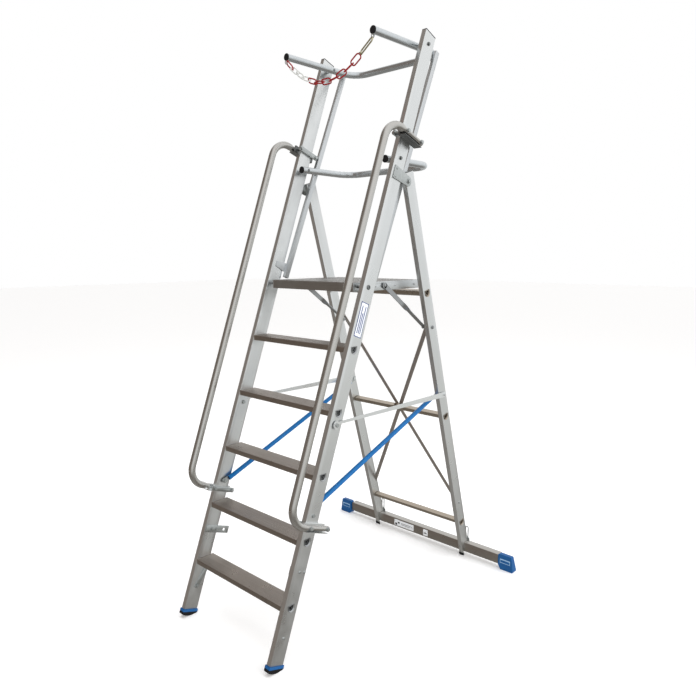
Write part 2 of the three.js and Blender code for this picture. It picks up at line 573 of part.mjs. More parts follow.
addPair('rear_stay', join(
  solid(stayTube),
  tongues,
  pin(stayFrom, BOLT_R, TONGUE.inner + 1, HALF_WIDTH + 1),
  pin(stayFrom, 7, TONGUE.outer - 1, INNER_FACE - GAP),
  pin(stayFrom, HEAD_R, outerFace, outerFace + HEAD),
), BLUE_METAL);

// ---- safety chain ---------------------------------------------------------------
// A chain across the entry, hung from the eyes under the top rail's front ends.
const CHAIN = { y: 601.5, top: 2325, sag: 112, half: 233, r: 3.5, hook: 190 };
const chainZ = (x) => CHAIN.top - CHAIN.sag * (1 - (x / CHAIN.half) ** 2);
const chainPoint = (x) => new THREE.Vector3(x, CHAIN.y, chainZ(x));
class ChainRoute extends THREE.Curve {
  constructor(from, to, count) {
    super();
    this.from = from;
    this.to = to;
    this.rings = Array.from({ length: count + 1 });
  }

  getPoint(t) { return chainPoint(this.from + (this.to - this.from) * t); }
  getPointAt(t) { return this.getPoint(t); }
  getTangentAt(t) {
    const x = this.from + (this.to - this.from) * t;
    return new THREE.Vector3(1, 0, (2 * CHAIN.sag * x) / CHAIN.half ** 2).normalize();
  }
}
add('safety_chain', solid(sweep(disc(CHAIN.r), new ChainRoute(-CHAIN.half, CHAIN.hook, 12), 4)), RED_PLASTIC);
add('snap_hook', solid(sweep(disc(4.5), new ChainRoute(CHAIN.hook + 1, CHAIN.half, 2), 4)), GALVANISED);

// ---- origin: the middle of the ladder's bounding box in plan, on the floor -----
const span = new THREE.Box3().setFromObject(ladder, true);
ladder.position.y = -(span.min.y + span.max.y) / 2;

export default ladder;
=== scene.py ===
import json
import math

import bmesh
import bpy
from mathutils import Matrix, Vector


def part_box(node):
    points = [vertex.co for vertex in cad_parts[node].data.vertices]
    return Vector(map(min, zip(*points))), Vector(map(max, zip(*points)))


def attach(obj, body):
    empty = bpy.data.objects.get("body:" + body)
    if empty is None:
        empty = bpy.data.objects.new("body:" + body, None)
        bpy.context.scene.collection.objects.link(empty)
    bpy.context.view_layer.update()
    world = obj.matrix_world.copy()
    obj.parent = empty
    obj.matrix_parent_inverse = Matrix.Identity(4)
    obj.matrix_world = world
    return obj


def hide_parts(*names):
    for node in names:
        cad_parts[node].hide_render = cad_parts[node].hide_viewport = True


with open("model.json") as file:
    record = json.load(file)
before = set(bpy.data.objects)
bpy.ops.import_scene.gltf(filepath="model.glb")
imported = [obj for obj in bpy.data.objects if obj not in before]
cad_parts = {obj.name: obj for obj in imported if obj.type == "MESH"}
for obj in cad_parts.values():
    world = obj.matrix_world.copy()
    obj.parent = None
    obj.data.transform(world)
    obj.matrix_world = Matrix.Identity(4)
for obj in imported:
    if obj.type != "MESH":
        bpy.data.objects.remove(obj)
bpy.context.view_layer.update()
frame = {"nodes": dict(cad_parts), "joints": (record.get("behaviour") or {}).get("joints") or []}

# ---- camera, floor and studio light ----------------------------------------
# The ladder stands on a pale floor. The eye is at platform height, out to the
# climber's right, with large soft panels round it as in a packshot studio.
CAMERA_PLACE = (1.9065, -1.9785, 1.5342)
HEADING, DIP, ROLL = 43.08, 11.72, -0.156
LENS_MM, LENS_SHIFT = 32.42, (0.0022, 0.0516)
camera_data = bpy.data.cameras.new("camera")
camera_data.lens = LENS_MM
camera_data.shift_x, camera_data.shift_y = LENS_SHIFT
camera = bpy.data.objects.new("camera", camera_data)
camera.matrix_world = (
    Matrix.Translation(CAMERA_PLACE)
    @ Matrix.Rotation(math.radians(HEADING), 4, "Z")
    @ Matrix.Rotation(math.radians(90 - DIP), 4, "X")
    @ Matrix.Rotation(math.radians(ROLL), 4, "Z")
)
bpy.context.scene.collection.objects.link(camera)
bpy.context.scene.camera = camera
bpy.context.scene.view_settings.view_transform = "Standard"


def linear(colour):
    """An sRGB hex colour as the linear RGBA that a socket takes."""
    channels = [int(colour[i:i + 2], 16) / 255 for i in (1, 3, 5)]
    opened = [c / 12.92 if c <= 0.04045 else ((c + 0.055) / 1.055) ** 2.4 for c in channels]
    return opened + [1]


def node(tree, kind, inputs=None, **settings):
    """Add a node. An input is a value, or the output socket that feeds it."""
    made = tree.nodes.new(kind)
    for name, value in settings.items():
        setattr(made, name, value)
    for name, value in (inputs or {}).items():
        if isinstance(value, bpy.types.NodeSocket):
            tree.links.new(value, made.inputs[name])
        else:
            made.inputs[name].default_value = value
    return made


def new_material(name):
    """A material, its node tree and its surface shader."""
    made = bpy.data.materials.new(name)
    made.use_nodes = True
    return made, made.node_tree, made.node_tree.nodes["Principled BSDF"]


def soft_panel(name, place, aim, width, height, power, tint):
    """A large rectangular light at place that faces aim. The metal doesn't mirror it."""
    data = bpy.data.lights.new(name, "AREA")
    data.shape = "RECTANGLE"
    data.size, data.size_y, data.energy = width, height, power
    data.color = linear(tint)[:3]
    panel = bpy.data.objects.new(name, data)
    facing = (Vector(aim) - Vector(place)).to_track_quat("-Z", "Y")
    panel.matrix_world = Matrix.Translation(place) @ facing.to_matrix().to_4x4()
    panel.visible_glossy = False
    bpy.context.scene.collection.objects.link(panel)


soft_panel("key_panel", (3.6, 2.4, 3.4), (0, 0, 1.2), 3.2, 3.6, 90, "#FFFFFF")
soft_panel("front_panel", (1.0, -4.2, 3.2), (0, 0, 1.1), 3.0, 2.2, 30, "#FFF8F0")
soft_panel("top_panel", (-0.4, 0.3, 5.0), (0, 0, 1), 3.6, 3.6, 60, "#F6FAFF")

# The metal mirrors a room that is pale at eye level and overhead and dimmer
# towards the ground. A warm dark wall stands behind the climber's left and
# reaches almost to the ground. The front faces mirror it, which sets them off
# from the pale sides. The camera itself sees plain white.
GROUND_TONE, CEILING_TONE, DARK_WALL = "#A6A4A0", "#FFFFFF", "#867D76"
ROOM_TONES = ((0.30, "#87837E"), (0.39, "#8F8D8A"), (0.47, "#C9C8C4"), (0.58, "#DFE0DD"),
              (0.72, "#F3F5F6"))
world = bpy.data.worlds.new("studio")
bpy.context.scene.world = world
world.use_nodes = True
air = world.node_tree
air.nodes.clear()
ways = node(air, "ShaderNodeTexCoord").outputs["Generated"]
rise = node(air, "ShaderNodeSeparateXYZ", {0: ways}).outputs["Z"]
height = node(air, "ShaderNodeMapRange", {"Value": rise, "From Min": -1.0, "From Max": 0.4})
walls = node(air, "ShaderNodeValToRGB", {"Fac": height.outputs["Result"]})
walls.color_ramp.elements[0].color = linear(GROUND_TONE)
walls.color_ramp.elements[1].color = linear(CEILING_TONE)
for position, tone in ROOM_TONES:
    walls.color_ramp.elements.new(position).color = linear(tone)
leftward = node(air, "ShaderNodeVectorMath", {0: ways, 1: (-0.7, -0.7, 0)},
                operation="DOT_PRODUCT")
on_wall = node(air, "ShaderNodeMapRange",
               {"Value": leftward.outputs["Value"], "From Min": 0.1, "From Max": 0.6})
off_ground = node(air, "ShaderNodeMapRange", {"Value": rise, "From Min": -0.75, "From Max": -0.3})
darkened = node(air, "ShaderNodeMath",
                {0: on_wall.outputs["Result"], 1: off_ground.outputs["Result"]},
                operation="MULTIPLY")
room = node(air, "ShaderNodeMix",
            {"Factor": darkened.outputs[0], 6: walls.outputs["Color"], 7: linear(DARK_WALL)},
            data_type="RGBA")
seen = node(air, "ShaderNodeLightPath")
lit = node(air, "ShaderNodeBackground", {"Color": room.outputs[2], "Strength": 1.0})
backdrop = node(air, "ShaderNodeBackground", {"Color": linear("#FFFFFF"), "Strength": 1.0})
either = node(air, "ShaderNodeMixShader", {0: seen.outputs["Is Camera Ray"],
                                           1: lit.outputs[0], 2: backdrop.outputs[0]})
node(air, "ShaderNodeOutputWorld", {"Surface": either.outputs[0]})

# Matt white floor paint. A little light of its own keeps its far part white.
FLOOR_REACH = 30.0
floor_mesh = bpy.data.meshes.new("floor")
floor_bm = bmesh.new()
bmesh.ops.create_grid(floor_bm, x_segments=1, y_segments=1, size=FLOOR_REACH)
floor_bm.to_mesh(floor_mesh)
floor_bm.free()
floor = bpy.data.objects.new("floor", floor_mesh)
bpy.context.scene.collection.objects.link(floor)
floor_paint, _, paint_surface = new_material("pale_floor_paint")
for socket, value in (("Base Color", linear("#FBFBFB")), ("Roughness", 0.9),
                      ("Emission Color", linear("#FFFFFF")), ("Emission Strength", 0.22)):
    paint_surface.inputs[socket].default_value = value
floor_mesh.materials.append(floor_paint)
# The metal mirrors the dim lower room and not the lit floor.
floor.visible_glossy = False

# ---- stiles ----------------------------------------------------------------
# Box extrusions of 6060 aluminium, mill finish, leaning back. The die leaves
# fine lines along their length, and handling leaves short dull scuffs.
STILE_TILT = math.radians(20.5)
HALF_WIDTH = 0.295
STILE_WIDTH = 0.022
INNER_FACE = HALF_WIDTH - STILE_WIDTH
OUT_FACE = HALF_WIDTH + 0.0002       # trim stands a hair off the face it sits on
RIGHT_AND_LEFT = (("right", 1), ("left", -1))
pivots = {joint["name"]: Vector(joint["pos_m"]) for joint in frame["joints"]}
stay_bolt = pivots["stay_lift_right"]
stile_origin = Vector((0, stay_bolt.y - stay_bolt.z * math.tan(STILE_TILT), 0))
on_stile = Matrix.Translation(stile_origin) @ Matrix.Rotation(-STILE_TILT, 4, "X")
LINE_STRETCH = 4                     # a drawn line runs for about 250 mm
PATCHES = 90                         # even patches of about 11 mm


def metal(name, colour, shade, roughness, tilt=0.0, along="Z", line_mm=2.4, grain=0.3,
          scuff=0.1):
    """Bare metal with drawn lines along one axis, turned by tilt about X, and soft scuffs.

    Real lines are a tenth of a millimetre apart. They are drawn coarser, to show.
    A "round" part has even patches in place of lines.
    """
    made, tree, surface = new_material(name)
    place = node(tree, "ShaderNodeTexCoord").outputs["Object"]
    per_metre = 1000 / line_mm
    stretch = {"X": (LINE_STRETCH, per_metre, per_metre), "Z": (per_metre, per_metre, LINE_STRETCH),
               "round": (PATCHES, PATCHES, PATCHES)}[along]
    turned_to = node(tree, "ShaderNodeMapping", {"Vector": place, "Rotation": (tilt, 0, 0)})
    drawn_out = node(tree, "ShaderNodeMapping",
                     {"Vector": turned_to.outputs[0], "Scale": stretch})
    lines = node(tree, "ShaderNodeTexNoise",
                 {"Vector": drawn_out.outputs[0], "Scale": 1.0, "Detail": 3.0})
    cloud = node(tree, "ShaderNodeTexNoise",
                 {"Vector": place, "Scale": 14.0, "Detail": 5.0, "Roughness": 0.65})
    amount = node(tree, "ShaderNodeMath", {0: lines.outputs["Fac"], 1: cloud.outputs["Fac"]},
                  operation="MULTIPLY")
    tone = node(tree, "ShaderNodeMix",
                {"Factor": amount.outputs[0], 6: linear(shade), 7: linear(colour)},
                data_type="RGBA")
    rough = node(tree, "ShaderNodeMapRange",
                 {"Value": cloud.outputs["Fac"], "From Min": 0.3, "From Max": 0.7,
                  "To Min": roughness - scuff, "To Max": roughness + scuff})
    relief = node(tree, "ShaderNodeBump",
                  {"Height": lines.outputs["Fac"], "Strength": grain, "Distance": 0.00006})
    surface.inputs["Metallic"].default_value = 1.0
    tree.links.new(tone.outputs[2], surface.inputs["Base Color"])
    tree.links.new(rough.outputs[0], surface.inputs["Roughness"])
    tree.links.new(relief.outputs[0], surface.inputs["Normal"])
    return made


def finish(name, bm, material, body, stands_for=(), crease=35):
    """Turn a bmesh into a piece at the origin that rides on a body of the frame."""
    mesh = bpy.data.meshes.new(name)
    bm.to_mesh(mesh)
    bm.free()
    mesh.shade_smooth()
    mesh.set_sharp_from_angle(angle=math.radians(crease))
    for each in material if isinstance(material, list) else [material]:
        mesh.materials.append(each)
    piece = bpy.data.objects.new(name, mesh)
    bpy.context.scene.collection.objects.link(piece)
    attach(piece, body)
    if stands_for:
        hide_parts(*stands_for)
    return piece


def softened(bm, edges, ease, segments=1):
    """Round edges off by a small radius."""
    bmesh.ops.bevel(bm, geom=edges, offset=ease, segments=segments, profile=0.5,
                    affect="EDGES", clamp_overlap=True, material=-1)


def eased(node_name, ease, shortest=0.0, segments=2):
    """A copy of a CAD node with its flat faces made whole and its sharp edges rounded."""
    bm = bmesh.new()
    bm.from_mesh(frame["nodes"][node_name].data)
    bmesh.ops.remove_doubles(bm, verts=bm.verts, dist=2e-6)
    bmesh.ops.dissolve_limit(bm, angle_limit=math.radians(1), verts=bm.verts, edges=bm.edges)
    sharp = [edge for edge in bm.edges if len(edge.link_faces) == 2
             and edge.calc_face_angle() > math.radians(50) and edge.calc_length() > shortest]
    softened(bm, sharp, ease, segments)
    return bm


# Mill-finish aluminium: pale, with long soft reflections.
STILE_METAL = metal("mill_aluminium_stile", "#F2F4F4", "#DFE1E1", 0.34, STILE_TILT)
for side, sign in RIGHT_AND_LEFT:
    finish(f"stile_extrusion_{side}", eased(f"stile_{side}", 0.0012, shortest=0.03), STILE_METAL,
           "ladder_frame", [f"stile_{side}"])


def plastic(name, colour, shade, roughness, grit_mm=0.6, relief=0.15):
    """Moulded or rubbery material with a fine spark-eroded grain and faint colour drift."""
    made, tree, surface = new_material(name)
    place = node(tree, "ShaderNodeTexCoord").outputs["Object"]
    grit = node(tree, "ShaderNodeTexNoise", {"Vector": place, "Scale": 1000 / grit_mm})
    drift = node(tree, "ShaderNodeTexNoise", {"Vector": place, "Scale": 22.0, "Detail": 4.0})
    tone = node(tree, "ShaderNodeMix",
                {"Factor": drift.outputs["Fac"], 6: linear(shade), 7: linear(colour)},
                data_type="RGBA")
    bump = node(tree, "ShaderNodeBump",
                {"Height": grit.outputs["Fac"], "Strength": relief, "Distance": 0.0002})
    rough = node(tree, "ShaderNodeMapRange",
                 {"Value": drift.outputs["Fac"], "To Min": roughness - 0.08,
                  "To Max": roughness + 0.08})
    surface.inputs["Specular IOR Level"].default_value = 0.35
    tree.links.new(tone.outputs[2], surface.inputs["Base Color"])
    tree.links.new(rough.outputs[0], surface.inputs["Roughness"])
    tree.links.new(bump.outputs[0], surface.inputs["Normal"])
    return made


# Moulded polypropylene plugs: near black, with a satin skin.
BLACK_MOULDING = plastic("moulded_black_polypropylene", "#1B1D20", "#0E0F11", 0.48)
for side, sign in RIGHT_AND_LEFT:
    finish(f"stile_cap_{side}", eased(f"stile_plug_{side}", 0.001), BLACK_MOULDING,
           "ladder_frame", [f"stile_plug_{side}"])

# A printed vinyl plate on the right stile: white with a blue edge and plain bars.
LABEL = {"half": 0.021, "low": 1.302, "high": 1.44, "edge": 0.003}
LABEL_LAYERS = {"edge": 0.0003, "field": 0.0005, "bar": 0.0007}
LABEL_BARS = ((-0.009, 0.014, 0.124), (0.0, 0.014, 0.096), (0.009, 0.014, 0.124))
LABEL_BAR_HALF = 0.0022
WHITE_VINYL = plastic("white_vinyl", "#F4F6F8", "#E6EAEE", 0.4)
NAVY_PRINT = plastic("navy_print", "#1F3E86", "#18326E", 0.45)


def slab(bm, low, high, place=None, paint=0):
    """A rectangular block between two corners, carried to place."""
    size = Vector(high) - Vector(low)
    middle = (Vector(high) + Vector(low)) / 2
    fit = Matrix.Translation(middle) @ Matrix.Diagonal((*size, 1))
    made = bmesh.ops.create_cube(bm, size=1, matrix=(place or Matrix()) @ fit)["verts"]
    for face in {f for v in made for f in v.link_faces}:
        face.material_index = paint


def label_layer(bm, layer, across, along, paint):
    """One layer of the label between two places across and two along the stile."""
    slab(bm, (OUT_FACE, across[0], along[0]),
         (OUT_FACE + LABEL_LAYERS[layer], across[1], along[1]), on_stile, paint)


label = bmesh.new()
half, edge = LABEL["half"], LABEL["edge"]
label_layer(label, "edge", (-half, half), (LABEL["low"], LABEL["high"]), 1)
label_layer(label, "field", (edge - half, half - edge),
            (LABEL["low"] + edge, LABEL["high"] - edge), 0)
for bar_n, bar_low, bar_high in LABEL_BARS:
    label_layer(label, "bar", (bar_n - LABEL_BAR_HALF, bar_n + LABEL_BAR_HALF),
                (LABEL["low"] + bar_low, LABEL["low"] + bar_high), 1)
finish("stile_label", label, [WHITE_VINYL, NAVY_PRINT], "ladder_frame")

# ---- treads ----------------------------------------------------------------
# Ribbed aluminium extrusions with a D-shaped bead below. The bead's ends pass
# through both stiles and are rolled over their outer faces, which locks them.
TREAD = {"front": -0.034, "back": 0.048, "top": 0.009, "lip": -0.012, "skin": 0.0035}
TREAD_GAP = 0.0003
NOSE = 0.002
RIB_PITCH, RIB_DEPTH = 0.0059, 0.0011
BEAD = {"half": 0.013, "centre": -0.004, "top": 0.0075}
FLARE_GROWTH = 0.0032
TIE = {"radius": 0.0068, "drop": 0.001, "from": 0.24, "length": 0.051, "bore": 0.78,
       "depth": 0.03}


def arc(centre, radius, start, end, steps):
    """Points (depth, height) of a round stretch between two angles in degrees."""
    turns = [math.radians(start + (end - start) * i / steps) for i in range(steps + 1)]
    return [(centre[0] + radius * math.cos(a), centre[1] + radius * math.sin(a)) for a in turns]


def about(place, change):
    """A change made as if place were the origin."""
    return place @ change @ place.inverted()


def pulled(bm, edges, motion):
    """Extrude a loop of edges by a matrix and return the new loop."""
    made = bmesh.ops.extrude_edge_only(bm, edges=edges)["geom"]
    bmesh.ops.transform(bm, matrix=motion,
                        verts=[v for v in made if isinstance(v, bmesh.types.BMVert)])
    return [e for e in made if isinstance(e, bmesh.types.BMEdge)]


def loop(bm, points, x):
    """A closed loop of edges through (depth, height) points at one X."""
    verts = [bm.verts.new((x, y, z)) for y, z in points]
    return [bm.edges.new((a, b)) for a, b in zip(verts, verts[1:] + verts[:1])]


def bar_along_x(bm, points, start, end):
    """A closed bar with a drawn section between two X planes."""
    first = loop(bm, points, start)
    last = pulled(bm, first, Matrix.Translation((end - start, 0, 0)))
    for rim in (first, last):
        bmesh.ops.contextual_create(bm, geom=rim)


def ribbed(front, back, top):
    """The grooved line across a walking surface, from front to back."""
    count = round((back - front) / RIB_PITCH)
    pitch = (back - front) / count
    line = []
    for i in range(count):
        y = front + i * pitch
        line += [(y, top), (y + 0.55 * pitch, top), (y + 0.68 * pitch, top - RIB_DEPTH),
                 (y + 0.87 * pitch, top - RIB_DEPTH)]
    return line + [(back, top)]


def plank_outline():
    """The tread's section: ribs on top, with a lip turned down at the front and back."""
    front, back, top, lip, skin = (TREAD[key] for key in ("front", "back", "top", "lip", "skin"))
    under = top - skin
    return [(front, lip), (front, top - NOSE), *ribbed(front + NOSE, back, top), (back, lip),
            (back - skin, lip), (back - skin, under), (front + skin, under),
            (front + skin, lip)]


def bead_outline():
    """A round below with a flat top, which the plank rests on."""
    half, centre = BEAD["half"], BEAD["centre"]
    return [(half, BEAD["top"]), (-half, BEAD["top"]), *arc((0, centre), half, 180, 360, 16)]


def rolled_bead(bm):
    """A D-shaped tube across the ladder whose two ends are rolled outwards."""
    middle = Matrix.Translation((0, 0, BEAD["centre"]))

    def grown(x_step, factor):
        return (Matrix.Translation((x_step, 0, 0))
                @ about(middle, Matrix.Diagonal((1, factor, factor, 1))))

    # Out to the stile's face, out round the roll, then back in down the bore.
    flare = 1 + FLARE_GROWTH / BEAD["half"]
    ring = loop(bm, bead_outline(), 0)
    for step, factor in ((HALF_WIDTH + 0.0003, 1), (0.0004, flare * 0.97),
                         (0.0010, flare / (flare * 0.97)), (0.0006, 0.955), (-0.0006, 0.9),
                         (-0.0030, 0.80 / (flare * 0.955 * 0.9)), (-0.06, 1)):
        ring = pulled(bm, ring, grown(step, factor))
    bmesh.ops.contextual_create(bm, geom=ring)
    bmesh.ops.mirror(bm, geom=bm.verts[:] + bm.edges[:] + bm.faces[:], matrix=Matrix(),
                     merge_dist=1e-6, axis="X")
    # A round tie tube runs inside the bead and ends just short of its mouth.
    for sign in (1, -1):
        tie = loop(bm, arc((0, BEAD["centre"] - TIE["drop"]), TIE["radius"], 0, 342, 19),
                   sign * TIE["from"])
        bmesh.ops.contextual_create(bm, geom=tie)
        for motion in (Matrix.Translation((sign * TIE["length"], 0, 0)),
                       about(middle, Matrix.Diagonal((1, TIE["bore"], TIE["bore"], 1))),
                       Matrix.Translation((-sign * TIE["depth"], 0, 0))):
            tie = pulled(bm, tie, motion)
        bmesh.ops.contextual_create(bm, geom=tie)


# Extruded aluminium: the treads are grey and dull, and the
# rolled beads are brighter and show their roll as a pale ring.
TREAD_METAL = metal("grey_aluminium_tread", "#D2CBC4", "#988F87", 0.34, along="X", line_mm=2.2,
                    grain=0.12, scuff=0.1)
BEAD_METAL = metal("rolled_aluminium_bead", "#DADDDF", "#A4A6A8", 0.34, along="X", line_mm=1.0)
for number in range(1, 6):
    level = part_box(f"tread_{number}")[1].z - TREAD["top"] - FLARE_GROWTH
    to_level = Matrix.Translation((0, stile_origin.y + level * math.tan(STILE_TILT), level))
    plank = bmesh.new()
    bar_along_x(plank, plank_outline(), TREAD_GAP - INNER_FACE, INNER_FACE - TREAD_GAP)
    bmesh.ops.recalc_face_normals(plank, faces=plank.faces)
    bmesh.ops.transform(plank, matrix=to_level, verts=plank.verts)
    finish(f"tread_plank_{number}", plank, TREAD_METAL, "ladder_frame",
           [f"tread_{number}"], crease=20)
    hollow = bmesh.new()
    rolled_bead(hollow)
    bmesh.ops.recalc_face_normals(hollow, faces=hollow.faces)
    bmesh.ops.transform(hollow, matrix=to_level, verts=hollow.verts)
    finish(f"tread_bead_{number}", hollow, BEAD_METAL, "ladder_frame")

# ---- feet ------------------------------------------------------------------
# A low moulded shoe wraps each stile's end. Its upper rim is blue polyamide with
# a satin skin. Its curved sole is dull black rubber, and rocks on the floor.
SHOE_RUBBER = plastic("black_sole_rubber", "#17181A", "#0B0C0D", 0.7, grit_mm=1.0, relief=0.3)
SHOE_BLUE = plastic("moulded_blue_polyamide", "#14619F", "#0F5290", 0.42)
RIM_FROM = 0.018
for side, sign in RIGHT_AND_LEFT:
    shoe = eased(f"foot_{side}", 0.0015)
    bmesh.ops.bisect_plane(shoe, geom=shoe.verts[:] + shoe.edges[:] + shoe.faces[:], dist=1e-6,
                           plane_co=on_stile @ Vector((0, 0, RIM_FROM)),
                           plane_no=on_stile.to_3x3() @ Vector((0, 0, 1)))
    for face in shoe.faces:
        along_stile = (on_stile.inverted() @ face.calc_center_median()).z
        face.material_index = int(along_stile > RIM_FROM)
    finish(f"foot_shoe_{side}", shoe, [SHOE_RUBBER, SHOE_BLUE], "ladder_frame",
           [f"foot_{side}"])

# ---- bolts and small steel parts on the stiles -----------------------------
# Hex bolts on washers, pan-headed rivets, the braces under tread 1, the padlock
# tab and plate, the link studs and the platform's pivot bolts, all of steel.
# Zinc plate: pale grey with cloudy patches. A darker, rougher copy paints shade into
# the platform bolts, the upper saddles and the rail bolts.
ZINC = metal("zinc_plated_steel", "#E3E6E5", "#B4B9B9", 0.38, along="round", line_mm=2.5,
             grain=0.15, scuff=0.12)
# Painted shade: a darker copy of the zinc, for zinc parts that lie in shade.
SHADED_ZINC = metal("painted_shade_zinc_steel", "#ABADAC", "#7E8182", 0.42, along="round", line_mm=2.5,
                   grain=0.15, scuff=0.1)
WASHER_HIGH = 0.0012


def aimed(at, way):
    """A frame whose Z axis points along way."""
    facing = Vector((0, 0, 1)).rotation_difference(Vector(way))
    return Matrix.Translation(at) @ facing.to_matrix().to_4x4()


def turned(bm, profile, place, steps=20):
    """A closed solid of revolution. Its (radius, height) profile starts and ends on the axis."""
    verts = [bm.verts.new((r, 0, h)) for r, h in profile]
    edges = [bm.edges.new(pair) for pair in zip(verts, verts[1:])]
    known = set(bm.verts) - set(verts)
    bmesh.ops.spin(bm, geom=verts + edges, cent=(0, 0, 0), axis=(0, 0, 1), angle=2 * math.pi,
                   steps=steps, use_merge=True)
    made = [v for v in bm.verts if v not in known]
    bmesh.ops.remove_doubles(bm, verts=made, dist=1e-7)
    made = [v for v in bm.verts if v not in known]
    bmesh.ops.recalc_face_normals(bm, faces=list({f for v in made for f in v.link_faces}))
    bmesh.ops.transform(bm, matrix=place, verts=made)


def pin(bm, radius, low, high, place, steps=20):
    """A plain round pin between two heights of a frame."""
    turned(bm, [(0, low), (radius, low), (radius, high), (0, high)], place, steps)


def pan_head(bm, at, way, radius, height):
    """A rivet's domed head, standing on a face."""
    turned(bm, [(0, -0.0005), (radius, -0.0005), (radius, height * 0.25),
                (radius * 0.86, height * 0.72), (radius * 0.55, height), (0, height)],
           aimed(at, way))


def hex_bolt(bm, at, way, across=0.013, height=0.0055):
    """A hex head with a chamfered rim, standing on a washer."""
    pin(bm, across * 0.68, -0.0005, WASHER_HIGH, aimed(at, way))
    place = aimed(at, way) @ Matrix.Translation((0, 0, WASHER_HIGH + height / 2))
    made = bmesh.ops.create_cone(bm, cap_ends=True, segments=6, radius1=across * 0.577,
                                 radius2=across * 0.577, depth=height, matrix=place)["verts"]
    rims = [e for e in {e for v in made for e in v.link_edges} if len(e.link_faces) == 2]
    softened(bm, rims, 0.0006)


def on_stile_at(sign, x, n, u):
    """A point on a stile: X from the middle, n across its depth and u along it."""
    return on_stile @ Vector((sign * x, n, u))


LINK_STUD_U, LOCK_TAB_U, BRACE_BOLT_U = 0.954, 0.384, 0.133
STRAP_BOLTS = ((0.0, BRACE_BOLT_U), (0.0, LOCK_TAB_U), (0.0255, LOCK_TAB_U))
STRAP_THICK = 0.0045
LOCKS = {"right": "lock_plate_right", "left": "lock_tab_left"}
STRAP_RIVET, STRAP_HEX = (0.006, 0.003), (0.010, 0.004)
STUD = {"from": 0.266, "shank": 0.004, "neck": 0.0385, "rim": 0.0082, "crown": 0.0068}
PIVOT_FROM = 0.2385
# The pivot bolt's shank, then a broad head with a shallow socket.
PIVOT_PROFILE = [(0, 0), (0.005, 0), (0.005, 0.0565), (0.0098, 0.0565), (0.0098, 0.0580),
                 (0.0082, 0.0595), (0.0048, 0.0598), (0.0046, 0.0580), (0, 0.0580)]
platform_pin = pivots["platform_fold"]
pin_local = on_stile.inverted() @ platform_pin
for side, sign in RIGHT_AND_LEFT:
    for name in (f"tread_brace_{side}", LOCKS[side]):
        finish(f"{name}_steel", eased(name, 0.0006), ZINC, "ladder_frame",
               [name])
    heads = bmesh.new()
    for n, u in STRAP_BOLTS:
        pan_head(heads, on_stile_at(sign, OUT_FACE, n, u), (sign, 0, 0), *STRAP_RIVET)
        hex_bolt(heads, on_stile_at(sign, INNER_FACE - STRAP_THICK, n, u), (-sign, 0, 0),
                 *STRAP_HEX)
    finish(f"stile_bolts_{side}", heads, ZINC, "ladder_frame")
    stud = bmesh.new()
    turned(stud, [(0, 0), (STUD["shank"], 0), (STUD["shank"], STUD["neck"]),
                  (STUD["rim"], STUD["neck"]), (STUD["rim"], STUD["neck"] + 0.0015),
                  (STUD["crown"], STUD["neck"] + 0.0028), (0, STUD["neck"] + 0.0028)],
           aimed(on_stile_at(sign, STUD["from"], 0, LINK_STUD_U), (sign, 0, 0)))
    hex_bolt(stud, on_stile_at(sign, INNER_FACE - 0.0002, 0, LINK_STUD_U), (-sign, 0, 0))
    finish(f"link_stud_bolt_{side}", stud, ZINC, "ladder_frame",
           [f"link_stud_{side}"])
    pivot = bmesh.new()
    turned(pivot, PIVOT_PROFILE,
           aimed(on_stile_at(sign, PIVOT_FROM, pin_local.y, pin_local.z), (sign, 0, 0)))
    # The pivot bolts take the zinc with painted shade.
    finish(f"platform_bolt_{side}", pivot, SHADED_ZINC, "ladder_frame",
           [f"platform_pivot_{side}"])

# ---- handrails -------------------------------------------------------------
# Round aluminium tube, cold bent at both ends and pressed flatter where two
# bolts draw it onto a folded saddle on the stile, with a bar on the inner face.
# Drawn tube has a bright line along it. The lower saddles' zinc is made paler, a painted
# light, and the upper saddles take the zinc with painted shade.
LIT_SADDLE_ZINC = metal("painted_light_zinc_saddle", "#FBFCFC", "#E6E9E9", 0.3, along="round", line_mm=2.5,
                   grain=0.1, scuff=0.06)
TUBE_METAL = metal("drawn_aluminium_tube", "#DAD9D6", "#BEBCB8", 0.26, STILE_TILT, line_mm=1.2,
                   grain=0.1, scuff=0.06)
HANDRAIL = {"x": 0.320, "run": -0.145, "back": 0.066, "low": 0.561, "high": 2.119,
            "bend": 0.080}
RAIL_R, TUBE_WALL, TUBE_SIDES, BEND_STEPS = 0.015, 0.002, 28, 12
PRESS_STARTS, PRESS_FULL, PRESSED_TO = -0.064, -0.050, 0.7
CLAMP_BOLTS = (-0.039, 0.053)
CLAMP_BAR_THICK = 0.0085
# The saddle's block and the shelf under the tube: reach in X, then bottom and top.
SADDLE_FRONT, SADDLE_BACK = -0.050, 0.064
SADDLE_BLOCKS = ((0.3045, -0.017, 0.013), (0.332, -0.0175, -0.0150))


def span(sign, near, far):
    """Two X values on one side of the ladder, the lower one first."""
    return sorted((sign * near, sign * far))


